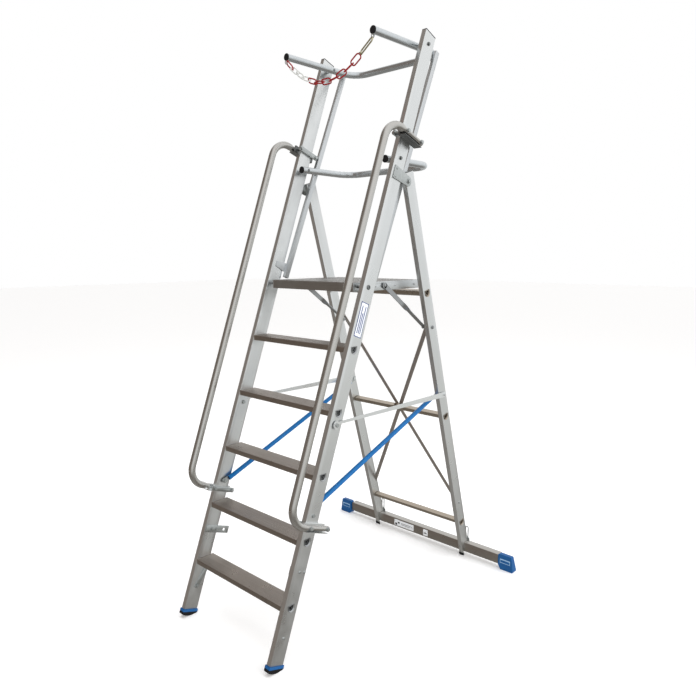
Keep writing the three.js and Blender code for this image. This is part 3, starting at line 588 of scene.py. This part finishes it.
def bent_tube(bm, corners, bend, radius, wrinkle=0.0):
    """Draw a ring of edges along straights and round bends, then give the skin its wall."""
    points = [Vector(corner) for corner in corners]
    ways = [(b - a).normalized() for a, b in zip(points, points[1:])]
    known = set(bm.edges)
    bmesh.ops.create_circle(bm, segments=TUBE_SIDES, radius=radius,
                            matrix=aimed(points[0], ways[0]))
    ring = [edge for edge in bm.edges if edge not in known]
    at = points[0]
    for i, way in enumerate(ways):
        more = i < len(ways) - 1
        angle = way.angle(ways[i + 1]) if more else 0
        stop = points[i + 1] - way * bend * math.tan(angle / 2)
        ring = pulled(bm, ring, Matrix.Translation(stop - at))
        at = stop
        if not more:
            break
        axis = way.cross(ways[i + 1]).normalized()
        centre = at + axis.cross(way) * bend
        turn = Matrix.Rotation(angle / BEND_STEPS, 4, axis)
        for step in range(BEND_STEPS):
            ring = pulled(bm, ring, about(Matrix.Translation(centre), turn))
            at = centre + turn @ (at - centre)
            if wrinkle and 0 < step < BEND_STEPS - 1:
                swell = 1 + wrinkle * (-1) ** step
                hub = Matrix.Translation(at)
                bmesh.ops.transform(bm, matrix=about(hub, Matrix.Scale(swell, 4)),
                                    verts=list({v for e in ring for v in e.verts}))
                ring = pulled(bm, ring, about(hub, Matrix.Scale(1 / swell, 4)))
    bmesh.ops.recalc_face_normals(bm, faces=bm.faces)
    bmesh.ops.solidify(bm, geom=bm.faces[:], thickness=TUBE_WALL)


for side, sign in RIGHT_AND_LEFT:
    tube = bmesh.new()
    x = sign * HANDRAIL["x"]
    bent_tube(tube, [(x, HANDRAIL["back"], HANDRAIL["low"]), (x, HANDRAIL["run"], HANDRAIL["low"]),
                     (x, HANDRAIL["run"], HANDRAIL["high"]),
                     (x, HANDRAIL["back"], HANDRAIL["high"])], HANDRAIL["bend"], RAIL_R)
    for n in (PRESS_STARTS, PRESS_FULL):
        bmesh.ops.bisect_plane(tube, geom=tube.verts[:] + tube.edges[:] + tube.faces[:],
                               dist=1e-6, plane_co=(0, n, 0), plane_no=(0, 1, 0))
    for level in ("low", "high"):
        pressed = [v for v in tube.verts if v.co.y > PRESS_FULL - 0.001
                   and abs(v.co.z - HANDRAIL[level]) < 0.02]
        flat = Matrix.Translation((0, 0, HANDRAIL[level]))
        bmesh.ops.transform(tube, matrix=about(flat, Matrix.Diagonal((1, 1, PRESSED_TO, 1))),
                            verts=pressed)
    bmesh.ops.transform(tube, matrix=on_stile, verts=tube.verts)
    finish(f"handrail_tube_{side}", tube, TUBE_METAL, "ladder_frame",
           [f"handrail_{side}"])
    # Painted light makes the lower saddles paler; painted shade makes the upper ones darker.
    for level, u, saddle_zinc in (("lower", HANDRAIL["low"], LIT_SADDLE_ZINC),
                                  ("upper", HANDRAIL["high"], SHADED_ZINC)):
        clamp = eased(f"handrail_clamp_{level}_{side}", 0.0005)
        for n in CLAMP_BOLTS:
            hex_bolt(clamp, on_stile_at(sign, HANDRAIL["x"] + RAIL_R + 0.0002, n, u),
                     (sign, 0, 0))
            hex_bolt(clamp, on_stile_at(sign, INNER_FACE - CLAMP_BAR_THICK, n, u),
                     (-sign, 0, 0))
        finish(f"clamp_bar_{level}_{side}", clamp, ZINC, "ladder_frame",
               [f"handrail_clamp_{level}_{side}"])
        saddle = bmesh.new()
        for reach, bottom, top in SADDLE_BLOCKS:
            near, far = span(sign, OUT_FACE, reach)
            slab(saddle, (near, SADDLE_FRONT, u + bottom), (far, SADDLE_BACK, u + top), on_stile)
        softened(saddle, saddle.edges[:], 0.0006)
        finish(f"handrail_saddle_{level}_{side}", saddle, saddle_zinc, "ladder_frame")

# ---- knee rail and top rail ------------------------------------------------
# Two U-shaped tubes guard the platform. They were bent without a mandrel, so the
# bends are wrinkled. Black plugs close the front ends, with a chain eye below.
# The tube is bare and bright, with even patches.
GUARD_R, GUARD_X = 0.014, 0.241
RAIL_METAL = metal("bent_aluminium_tube", "#E6EAEC", "#CBD0D3", 0.27, along="round", line_mm=1.2,
                   grain=0.1, scuff=0.06)
stile_foot_y = stile_origin.y        # depths are measured from the stiles' foot
GUARDS = {
    "knee_rail": {"z": 1.902, "front": 0.682, "back": 0.990, "bend": 0.078, "boss": 0.711},
    "top_rail": {"z": 2.350, "front": 0.604, "back": 1.034, "bend": 0.080, "boss": 0.879},
}
WRINKLE = 0.02
BOSS_R, BOSS_FROM = 0.009, 0.011
PLUG_R = GUARD_R + 0.0008
# The plug's shank inside the tube, then a domed head that covers the rim.
PLUG_PROFILE = [(0, -0.014), (0.0115, -0.014), (0.0115, 0.0003), (PLUG_R, 0.0003),
                (PLUG_R, 0.0030), (0.0125, 0.0046), (0.006, 0.0050), (0, 0.0050)]
BOSS_HEX, BOSS_RIVET = (0.011, 0.004), (0.006, 0.0025)


def hoop(bm, at, way, major, minor, steps=20):
    """A closed ring of round wire about an axis."""
    known = set(bm.verts)
    upright = Matrix.Translation((major, 0, 0)) @ Matrix.Rotation(math.pi / 2, 4, "X")
    bmesh.ops.create_circle(bm, segments=10, radius=minor, matrix=upright)
    made = [v for v in bm.verts if v not in known]
    edges = list({e for v in made for e in v.link_edges})
    bmesh.ops.spin(bm, geom=made + edges, cent=(0, 0, 0), axis=(0, 0, 1), angle=2 * math.pi,
                   steps=steps, use_merge=True)
    made = [v for v in bm.verts if v not in known]
    bmesh.ops.recalc_face_normals(bm, faces=list({f for v in made for f in v.link_faces}))
    bmesh.ops.transform(bm, matrix=aimed(at, way), verts=made)


for name, rail in GUARDS.items():
    rail_front, rail_back, boss_y = (stile_foot_y + rail[key] for key in ("front", "back", "boss"))
    tube = bmesh.new()
    bent_tube(tube, [(GUARD_X, rail_front, rail["z"]), (GUARD_X, rail_back, rail["z"]),
                     (-GUARD_X, rail_back, rail["z"]), (-GUARD_X, rail_front, rail["z"])],
              rail["bend"], GUARD_R, WRINKLE)
    for side, sign in RIGHT_AND_LEFT:
        bar_along_x(tube, arc((boss_y, rail["z"]), BOSS_R, 0, 340, 17),
                    *span(sign, GUARD_X + BOSS_FROM, INNER_FACE - 0.0004))
    finish(f"{name}_tube", tube, RAIL_METAL, "ladder_frame", [name])
    for side, sign in RIGHT_AND_LEFT:
        plug = bmesh.new()
        turned(plug, PLUG_PROFILE, aimed((sign * GUARD_X, rail_front, rail["z"]), (0, -1, 0)),
               steps=28)
        finish(f"{name}_end_plug_{side}", plug, BLACK_MOULDING, "ladder_frame",
               [f"{name}_plug_{side}"])
        bolt = bmesh.new()
        hex_bolt(bolt, (sign * OUT_FACE, boss_y, rail["z"]), (sign, 0, 0), *BOSS_HEX)
        pan_head(bolt, (sign * (GUARD_X - GUARD_R), boss_y, rail["z"]), (-sign, 0, 0),
                 *BOSS_RIVET)
        # These bolts take the zinc with painted shade.
        finish(f"{name}_bolt_{side}", bolt, SHADED_ZINC, "ladder_frame")

# ---- guard posts -----------------------------------------------------------
# Small box tubes of mill-finish aluminium, pale like the stiles, that run from a
# tab on each stile up to the top rail.
for side, sign in RIGHT_AND_LEFT:
    post_metal = metal(f"mill_aluminium_post_{side}", "#E6E9EB", "#D0D3D5", 0.35, STILE_TILT)
    post = eased(f"guard_post_{side}", 0.0008, shortest=0.01)
    finish(f"guard_post_tube_{side}", post, post_metal, "ladder_frame",
           [f"guard_post_{side}"])

# ---- fold hinges -----------------------------------------------------------
# Pressed zinc plates riveted to the stiles. Each carries the bolt that a rear
# leg's top turns on.
HINGE_FACE, HINGE_PLATE_FACE = 0.3020, 0.2990
HINGE_HEX, PLATE_RIVET = (0.013, 0.005), (0.005, 0.0022)
HINGE_RIVETS_N, HINGE_RIVETS_U = -0.010, (-0.016, 0.016)
fold = pivots["rear_fold"]
fold_u = (on_stile.inverted() @ fold).z
for side, sign in RIGHT_AND_LEFT:
    plate = eased(f"hinge_bracket_{side}", 0.0006)
    hex_bolt(plate, (sign * HINGE_FACE, fold.y, fold.z), (sign, 0, 0), *HINGE_HEX)
    for u in HINGE_RIVETS_U:
        pan_head(plate, on_stile_at(sign, HINGE_PLATE_FACE, HINGE_RIVETS_N, fold_u + u),
                 (sign, 0, 0), *PLATE_RIVET)
    finish(f"hinge_plate_{side}", plate, ZINC, "ladder_frame",
           [f"hinge_bracket_{side}"])

# ---- platform --------------------------------------------------------------
# A ribbed aluminium deck between two flat side plates, hinged on the stiles at
# its front and held up from the rear legs by two struts. The deck is dull from
# use, and the plates are as pale as the stiles.
DECK_METAL = metal("ribbed_aluminium_deck", "#D9DADA", "#A3A19D", 0.38, along="X", line_mm=1.4,
                   grain=0.3, scuff=0.1)
SIDE_METAL = metal("mill_aluminium_side", "#E8EBED", "#D2D5D6", 0.34, along="X", line_mm=1.0)
DECK_SKIN, DECK_RIB_HALF, DECK_RIB_FOOT = 0.004, 0.002, 0.008
DECK_RIBS = (0.75, 0.5, 0.25)
CHEEK_RIVETS = (0.32, 0.62, 0.93)
deck_low, deck_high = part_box("platform_deck")


def deck_outline(front, back, base, top):
    """The deck's section: walking ribs on top, with three stiffening ribs and lips below."""
    under = top - DECK_SKIN
    line = [(back, base), (back - DECK_SKIN, base), (back - DECK_SKIN, under)]
    for share in DECK_RIBS:
        y, foot = front + (back - front) * share, base + DECK_RIB_FOOT
        line += [(y + DECK_RIB_HALF, under), (y + DECK_RIB_HALF, foot),
                 (y - DECK_RIB_HALF, foot), (y - DECK_RIB_HALF, under)]
    line += [(front + DECK_SKIN, under), (front + DECK_SKIN, base), (front, base),
             (front, top - 0.003)]
    return ribbed(front + 0.002, back - 0.001, top) + line


deck = bmesh.new()
bar_along_x(deck, deck_outline(deck_low.y, deck_high.y, deck_low.z, deck_high.z), deck_low.x,
            deck_high.x)
bmesh.ops.recalc_face_normals(deck, faces=deck.faces)
finish("platform_planking", deck, DECK_METAL, "platform", ["platform_deck"],
       crease=20)
cheek_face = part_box("platform_side_right")[1].x
for side, sign in RIGHT_AND_LEFT:
    plate = eased(f"platform_side_{side}", 0.0006)
    for share in CHEEK_RIVETS:
        y = deck_low.y + (deck_high.y - deck_low.y) * share
        pan_head(plate, (sign * cheek_face, y, (deck_low.z + deck_high.z) / 2), (sign, 0, 0),
                 *PLATE_RIVET)
    finish(f"platform_cheek_{side}", plate, SIDE_METAL, "platform",
           [f"platform_side_{side}"])

# ---- platform struts -------------------------------------------------------
# Flat aluminium bars, twisted a quarter turn halfway, with a drawn grey face.
# Each has an eye on the platform's side and a bolt through the rear leg, on
# which it folds.
STRUT = {"half": 0.010, "thick": 0.002, "x": 0.246, "twist": (0.42, 0.60), "high_y": 0.680}
STRUT_SHARES = [0, 0.40, 0.42, 0.45, 0.48, 0.51, 0.54, 0.57, 0.60, 0.62, 1.0]
STRUT_PIN_FROM = 0.2435
STRUT_PIN_STEPS = ((0.004, 0, 0.0515), (0.0065, 0.005, 0.029))     # its shank and its spacer
STRUT_EYE_R, STRUT_RIVET = 0.0125, (0.0068, 0.003)
BUSH_R, BUSH_HALF = 0.010, 0.0035
LINKAGE_HEX = (0.012, 0.004)
STRUT_METAL = metal("flat_aluminium_bar", "#D6D9DB", "#9B9D9E", 0.36, along="X", line_mm=1.2)
strut_low = pivots["strut_turn_right"]
strut_high = Vector((0, stile_foot_y + STRUT["high_y"], platform_pin.z))


def strut_frame(upper, line, share):
    """The bar's frame at a share of its length, turned by the twist so far."""
    start, end = STRUT["twist"]
    turn = min(max((share - start) / (end - start), 0), 1) * math.pi / 2
    out, way = Vector((1, 0, 0)), line.normalized()
    upright = Matrix((out, way.cross(out), way)).transposed().to_4x4()
    return Matrix.Translation(upper + line * share) @ upright @ Matrix.Rotation(turn, 4, "Z")


for side, sign in RIGHT_AND_LEFT:
    upper = Vector((sign * STRUT["x"], strut_high.y, strut_high.z))
    lower = Vector((sign * STRUT["x"], strut_low.y, strut_low.z))
    line = lower - upper
    outwards = (sign, 0, 0)
    bar = bmesh.new()
    thick, half = STRUT["thick"], STRUT["half"]
    verts = [bar.verts.new(strut_frame(upper, line, 0) @ Vector((a, b, 0)))
             for a, b in ((-thick, -half), (thick, -half), (thick, half), (-thick, half))]
    ring = [bar.edges.new(pair) for pair in zip(verts, verts[1:] + verts[:1])]
    bmesh.ops.contextual_create(bar, geom=ring)
    for before, after in zip(STRUT_SHARES, STRUT_SHARES[1:]):
        ring = pulled(bar, ring, strut_frame(upper, line, after)
                      @ strut_frame(upper, line, before).inverted())
    bmesh.ops.contextual_create(bar, geom=ring)
    bmesh.ops.recalc_face_normals(bar, faces=bar.faces)
    pin(bar, STRUT_EYE_R, -thick, thick, aimed(upper, outwards), steps=24)
    pin(bar, BUSH_R, -BUSH_HALF, BUSH_HALF, aimed(lower, outwards), steps=24)
    pan_head(bar, upper + Vector((sign * thick, 0, 0)), outwards, *STRUT_RIVET)
    pin_place = aimed((sign * STRUT_PIN_FROM, strut_low.y, strut_low.z), outwards)
    for radius, low, high in STRUT_PIN_STEPS:
        pin(bar, radius, low, high, pin_place, steps=16)
    hex_bolt(bar, (sign * OUT_FACE, strut_low.y, strut_low.z), outwards, *LINKAGE_HEX)
    finish(f"platform_stay_bar_{side}", bar, STRUT_METAL, f"strut_{side}",
           [f"platform_strut_{side}"])

# ---- rear legs and crossbars -----------------------------------------------
# Box extrusions leaning forward, joined by three D-shaped bars rolled over the
# legs' outer faces, and by two flat bars that cross behind the middle one. The
# legs are as pale as the stiles, the bars browner and the braces
# dull. A small black stop sits on the front of each leg's end.
LEG_TILT = math.radians(16.3)
LEG_METAL = metal("mill_aluminium_leg", "#F0F2F1", "#DADCDC", 0.34, -LEG_TILT)
CROSSBAR_METAL = metal("rolled_aluminium_crossbar", "#D3C9BC", "#A79C8E", 0.3, along="X",
                       line_mm=1.0)
BRACE_METAL = metal("dull_aluminium_brace", "#E2DDD8", "#BDB6B0", 0.42, along="round", line_mm=1.4)
leg_origin = Vector((0, strut_low.y + strut_low.z * math.tan(LEG_TILT), 0))
on_leg = Matrix.Translation(leg_origin) @ Matrix.Rotation(LEG_TILT, 4, "X")
leg_front = on_leg.to_3x3() @ Vector((0, -1, 0))
CROSSBARS = {"lower": 0.206, "middle": 0.8195, "upper": 1.428}
BRACE_LOW, BRACE_HIGH = 0.322, 1.278
BRACE_INSET, BRACE_FACE = 0.022, 0.0172
LEG_BOLT_N, LEG_RIVET = 0.004, (0.0065, 0.003)
STOP_RIVETS_U, STOP_RIVET_N, STOP_RIVET = (0.030, 0.062), -0.028, (0.0055, 0.0028)
BRACE_RIVET = (0.006, 0.0032)
STOP = {"inner": 0.2705, "outer": 0.2975, "front": -0.0295, "back": -0.0230, "low": 0.0085,
        "high": 0.024}
for side, sign in RIGHT_AND_LEFT:
    leg = eased(f"rear_leg_{side}", 0.0011, shortest=0.03)
    finish(f"leg_extrusion_{side}", leg, LEG_METAL, "rear_frame",
           [f"rear_leg_{side}"])
    heads = bmesh.new()
    pan_head(heads, on_leg @ Vector((sign * OUT_FACE, LEG_BOLT_N, BRACE_LOW)), (sign, 0, 0),
             *LEG_RIVET)
    for u in STOP_RIVETS_U:
        spot = on_leg @ Vector((sign * (HALF_WIDTH - STILE_WIDTH / 2), STOP_RIVET_N, u))
        pan_head(heads, spot, leg_front, *STOP_RIVET)
    finish(f"leg_bolts_{side}", heads, ZINC, "rear_frame")
    stop = bmesh.new()
    near, far = span(sign, STOP["inner"], STOP["outer"])
    slab(stop, (near, STOP["front"], STOP["low"]), (far, STOP["back"], STOP["high"]), on_leg)
    softened(stop, stop.edges[:], 0.001, 2)
    finish(f"leg_end_stop_{side}", stop, BLACK_MOULDING, "rear_frame")
for level, u in CROSSBARS.items():
    bar = bmesh.new()
    rolled_bead(bar)
    bmesh.ops.recalc_face_normals(bar, faces=bar.faces)
    bmesh.ops.transform(bar, matrix=on_leg @ Matrix.Translation((0, 0, u)), verts=bar.verts)
    finish(f"crossbar_bead_{level}", bar, CROSSBAR_METAL, "rear_frame",
           [f"rear_crossbar_{level}"])
for number, ends in ((1, ((1, BRACE_HIGH), (-1, BRACE_LOW))),
                     (2, ((1, BRACE_LOW), (-1, BRACE_HIGH)))):
    brace = eased(f"cross_brace_{number}", 0.0006)
    for sign, u in ends:
        spot = on_leg @ Vector((sign * (INNER_FACE - BRACE_INSET), BRACE_FACE, u))
        pan_head(brace, spot, leg_front, *BRACE_RIVET)
    finish(f"cross_bar_flat_{number}", brace, BRACE_METAL, "rear_frame",
           [f"cross_brace_{number}"])

# ---- spreader links --------------------------------------------------------
# Flat bright aluminium bars outside the frame. Each turns on a bolt in the rear
# leg and drops its open hook over a stud on the stile, which locks the ladder
# open. The mouth is where the hook opens, in degrees.
LINK = {"inner": 0.2994, "outer": 0.3034, "half": 0.012, "hook": 0.017, "slot": 0.0056,
        "mouth": -64}
LINK_PIN_FROM = 0.2585
LINK_PIN_PROFILE = [(0, 0), (0.007, 0), (0.007, 0.0028), (0.004, 0.0028), (0.004, 0.0368),
                    (0.008, 0.0368), (0.008, 0.0415), (0, 0.0415)]
LINK_METAL = metal("bright_aluminium_link", "#FBFCFC", "#EEF1F2", 0.3, along="round", line_mm=1.0,
                   grain=0.1, scuff=0.06)
link_pin = pivots["link_lift_right"]
stud_at = on_stile @ Vector((0, 0, LINK_STUD_U))
mouth_spread = math.degrees(math.asin(LINK["slot"] / LINK["hook"]))
neck = math.degrees(math.asin(LINK["half"] / LINK["hook"]))
hook_centre = (stud_at.y, stud_at.z)
link_outline = [
    *arc((link_pin.y, link_pin.z), LINK["half"], 90, -90, 12),
    *arc(hook_centre, LINK["slot"], LINK["mouth"] + 90, LINK["mouth"] + 270, 10),
    *arc(hook_centre, LINK["hook"], LINK["mouth"] - mouth_spread, neck - 360, 20),
]
for side, sign in RIGHT_AND_LEFT:
    link = bmesh.new()
    bar_along_x(link, link_outline, *span(sign, LINK["inner"], LINK["outer"]))
    bmesh.ops.recalc_face_normals(link, faces=link.faces)
    turned(link, LINK_PIN_PROFILE,
           aimed((sign * LINK_PIN_FROM, link_pin.y, link_pin.z), (sign, 0, 0)))
    hex_bolt(link, (sign * LINK["outer"], link_pin.y, link_pin.z), (sign, 0, 0), *LINKAGE_HEX)
    finish(f"link_bar_{side}", link, LINK_METAL, f"link_{side}",
           [f"spreader_link_{side}"], crease=40)

# ---- rear stays ------------------------------------------------------------
# Tubes powder-coated a glossy blue, one a side, from the stiles down low to the
# link bolts on the legs. Zinc tongues riveted into their ends take the bolts.
STAY = {"x": 0.260, "radius": 0.010, "low_gap": 0.022, "high_gap": 0.036,
        "tongue": (0.262, 0.266), "half": 0.011, "neck": 0.75, "inside": 0.012}
STAY_PIN_FROM, STAY_NUT_FACE = 0.2615, 0.2618
STAY_PIN_R, STAY_PIN_LONG = 0.004, 0.0345
POWDER_BLUE = plastic("blue_powder_coat", "#0B72B6", "#0A5B9C", 0.32, grit_mm=1.2, relief=0.25)
stay_way = Vector((0, link_pin.y - stay_bolt.y, link_pin.z - stay_bolt.z)).normalized()
slope = math.degrees(math.atan2(stay_way.z, stay_way.y))
# Each end: its bolt, how far along the stay the tongue goes, and which way round.
STAY_ENDS = ((stay_bolt, STAY["low_gap"] + STAY["inside"], 0, 1),
             (link_pin, -STAY["high_gap"] - STAY["inside"], 180, -1))
for side, sign in RIGHT_AND_LEFT:
    tube = bmesh.new()
    low_end = Vector((sign * STAY["x"], stay_bolt.y, stay_bolt.z)) + stay_way * STAY["low_gap"]
    high_end = Vector((sign * STAY["x"], link_pin.y, link_pin.z)) - stay_way * STAY["high_gap"]
    bent_tube(tube, [low_end, high_end], 0, STAY["radius"])
    finish(f"stay_tube_{side}", tube, POWDER_BLUE, f"stay_{side}",
           [f"rear_stay_{side}"])
    tongue = bmesh.new()
    for bolt_at, gap, turn, hand in STAY_ENDS:
        inside = bolt_at + stay_way * gap
        across = Vector((0, -stay_way.z, stay_way.y)) * STAY["half"] * STAY["neck"] * hand
        first, second = inside - across, inside + across
        rounded = arc((bolt_at.y, bolt_at.z), STAY["half"], slope + turn + 90,
                      slope + turn + 270, 12)
        bar_along_x(tongue, [(first.y, first.z), (second.y, second.z), *rounded],
                    *span(sign, *STAY["tongue"]))
    bmesh.ops.recalc_face_normals(tongue, faces=tongue.faces)
    pin(tongue, STAY_PIN_R, 0, STAY_PIN_LONG,
        aimed((sign * STAY_PIN_FROM, stay_bolt.y, stay_bolt.z), (sign, 0, 0)), steps=16)
    for face, outwards in ((OUT_FACE, sign), (STAY_NUT_FACE, -sign)):
        hex_bolt(tongue, (sign * face, stay_bolt.y, stay_bolt.z), (outwards, 0, 0),
                 *LINKAGE_HEX)
    finish(f"stay_tongues_{side}", tongue, ZINC, f"stay_{side}")

# ---- stabiliser beam -------------------------------------------------------
# A wide box extrusion behind the legs, of dull mill-finish aluminium. Moulded
# end caps in satin blue stand on the floor. Zinc clips with tall pull loops hook
# it to the legs, and wing bolts pull it tight.
BEAM_METAL = metal("mill_aluminium_beam", "#DAD9D6", "#ABA7A1", 0.34, along="X", line_mm=1.0)
CAP_BLUE = plastic("blue_end_cap", "#07619F", "#064784", 0.36)
CAP_PRINT = plastic("pale_cap_inlay", "#A9CBE6", "#8FB9DC", 0.5)
# A plain pale frame on each cap's front: (left, right, bottom, top) from its middle.
INLAY_MIDDLE = 0.533
INLAY_BARS = ((-0.027, 0.027, 0.052, 0.057), (-0.027, 0.027, 0.036, 0.0385),
              (-0.027, -0.025, 0.0385, 0.052), (0.025, 0.027, 0.0385, 0.052))
finish("beam_extrusion", eased("base_beam", 0.0015, shortest=0.03), BEAM_METAL,
       "rear_frame", ["base_beam"])
for side, sign in RIGHT_AND_LEFT:
    cap_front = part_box(f"beam_cap_{side}")[0].y
    finish(f"beam_end_cap_{side}", eased(f"beam_cap_{side}", 0.0035, segments=4), CAP_BLUE,
           "rear_frame", [f"beam_cap_{side}"])
    inlay = bmesh.new()
    middle = sign * INLAY_MIDDLE
    for left, right, bottom, top in INLAY_BARS:
        slab(inlay, (middle + left, cap_front - 0.0004, bottom),
             (middle + right, cap_front + 0.001, top))
    finish(f"cap_inlay_{side}", inlay, CAP_PRINT, "rear_frame")
    finish(f"clip_plate_{side}", eased(f"beam_clip_{side}", 0.0008), ZINC, "rear_frame",
           [f"beam_clip_{side}"])
    finish(f"wing_screw_{side}", eased(f"wing_bolt_{side}", 0.0008), ZINC, f"wing_{side}",
           [f"wing_bolt_{side}"], crease=40)

# Two plain stickers on the beam's front, with dark blocks in place of words.
STICKERS = ((-0.165, -0.030), (0.035, 0.065))
STICKER_LOW, STICKER_HIGH = 0.030, 0.065
STICKER_BLOCKS = ((-0.158, -0.146, 0.033, 0.045), (-0.140, -0.128, 0.045, 0.054),
                  (-0.118, -0.040, 0.049, 0.051), (-0.118, -0.055, 0.042, 0.044),
                  (0.042, 0.058, 0.041, 0.046))
beam_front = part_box("base_beam")[0].y
sticker = bmesh.new()
for left, right in STICKERS:
    slab(sticker, (left, beam_front - 0.0004, STICKER_LOW),
         (right, beam_front + 0.001, STICKER_HIGH))
for left, right, bottom, top in STICKER_BLOCKS:
    slab(sticker, (left, beam_front - 0.0006, bottom), (right, beam_front + 0.001, top), paint=1)
finish("beam_stickers", sticker, [WHITE_VINYL, BLACK_MOULDING], "rear_frame")

# ---- safety chain ----------------------------------------------------------
# Moulded polyethylene links, red with three white ones and a soft shine, hang
# across the entry from an eye under each end of the top rail. A yellow-zinc snap
# hook joins them to the right eye.
CHAIN = {"top": 2.325, "sag": 0.112, "half": 0.233, "pitch": 0.0415, "wire": 0.0028,
         "bow": 0.0105, "first": 0.014, "last_before": 0.178}
LINK_OVERLAP = 0.009
LINK_LEANS = (122, 32)
WHITE_LINKS = (1, 2, 3)
HOOK = {"from": 0.180, "eye_z": 2.3225, "lean": 60, "bow": 0.0115, "wire": 0.0031,
        "ring": 0.006, "ring_wire": 0.0018}
RED_LINK = plastic("moulded_red_polyethylene", "#A3191E", "#7E1116", 0.36)
WHITE_LINK = plastic("moulded_white_polyethylene", "#E4E5E2", "#C3C6C3", 0.36)
chain_y = pivots["chain_swing"].y


def chain_place(x):
    """A point on the hanging chain's line."""
    drop = CHAIN["sag"] * (1 - (x / CHAIN["half"]) ** 2)
    return Vector((x, chain_y, CHAIN["top"] - drop))


def oval_link(bm, place, length, bow, wire, steps=8, paint=0):
    """A closed oval of round wire, its long axis along the place's X."""
    known = set(bm.edges)
    straight = length / 2 - bow
    bmesh.ops.create_circle(bm, segments=8, radius=wire,
                            matrix=Matrix.Translation((-straight, bow, 0))
                            @ Matrix.Rotation(math.pi / 2, 4, "Y"))
    ring = [e for e in bm.edges if e not in known]
    made = {v for e in ring for v in e.verts}
    turn = Matrix.Rotation(-math.pi / steps, 4, "Z")
    for end in (1, -1):
        around_end = about(Matrix.Translation((straight * end, 0, 0)), turn)
        for motion in [Matrix.Translation((2 * straight * end, 0, 0))] + [around_end] * steps:
            ring = pulled(bm, ring, motion)
            made |= {v for e in ring for v in e.verts}
    bmesh.ops.remove_doubles(bm, verts=list(made), dist=1e-6)
    made = [v for v in made if v.is_valid]
    faces = list({f for v in made for f in v.link_faces})
    bmesh.ops.recalc_face_normals(bm, faces=faces)
    bmesh.ops.transform(bm, matrix=place, verts=made)
    for face in faces:
        face.material_index = paint


def link_frame(at, slope, lean):
    """A link's frame: its long axis at a slope, leaning over by some degrees."""
    return (Matrix.Translation(at) @ Matrix.Rotation(-slope, 4, "Y")
            @ Matrix.Rotation(math.radians(lean), 4, "X"))


links = bmesh.new()
x, number = CHAIN["first"] - CHAIN["half"], 0
while x < CHAIN["last_before"]:
    here, ahead = chain_place(x), chain_place(x + 0.001)
    slope = math.atan2(ahead.z - here.z, ahead.x - here.x)
    oval_link(links, link_frame(here, slope, LINK_LEANS[number % 2]),
              CHAIN["pitch"] + LINK_OVERLAP, CHAIN["bow"], CHAIN["wire"],
              paint=int(number in WHITE_LINKS))
    x += CHAIN["pitch"] * math.cos(slope)
    number += 1
finish("chain_links", links, [RED_LINK, WHITE_LINK], "chain", ["safety_chain"],
       crease=60)

# The hook is yellow-zinc steel, which is pale straw in the light.
BRASSY_ZINC = metal("yellow_zinc_hook", "#EFEBD3", "#CDC6A2", 0.3, along="round", line_mm=2.0,
                    grain=0.1, scuff=0.08)
hook = bmesh.new()
last_link, right_eye = chain_place(HOOK["from"]), Vector((GUARD_X, chain_y, HOOK["eye_z"]))
line = right_eye - last_link
oval_link(hook, link_frame((last_link + right_eye) / 2, math.atan2(line.z, line.x), HOOK["lean"]),
          line.length, HOOK["bow"], HOOK["wire"])
hoop(hook, last_link, (0, 0.5, 0.86), HOOK["ring"], HOOK["ring_wire"])
finish("snap_hook_body", hook, BRASSY_ZINC, "chain", ["snap_hook"],
       crease=60)

# Each eye is a ring through a smaller one that is fixed under the rail.
EYE_WIRE = 0.0018
EYE_RINGS = ((0, 2.3290, (0, 1, 0.1), 0.0068), (0.006, 2.3360, (1, 0, 0), 0.0050))
for side, sign in RIGHT_AND_LEFT:
    eye = bmesh.new()
    for back, z, way, radius in EYE_RINGS:
        hoop(eye, (sign * GUARD_X, chain_y + back, z), way, radius, EYE_WIRE)
    finish(f"chain_eye_{side}", eye, ZINC, "ladder_frame",
           crease=60)
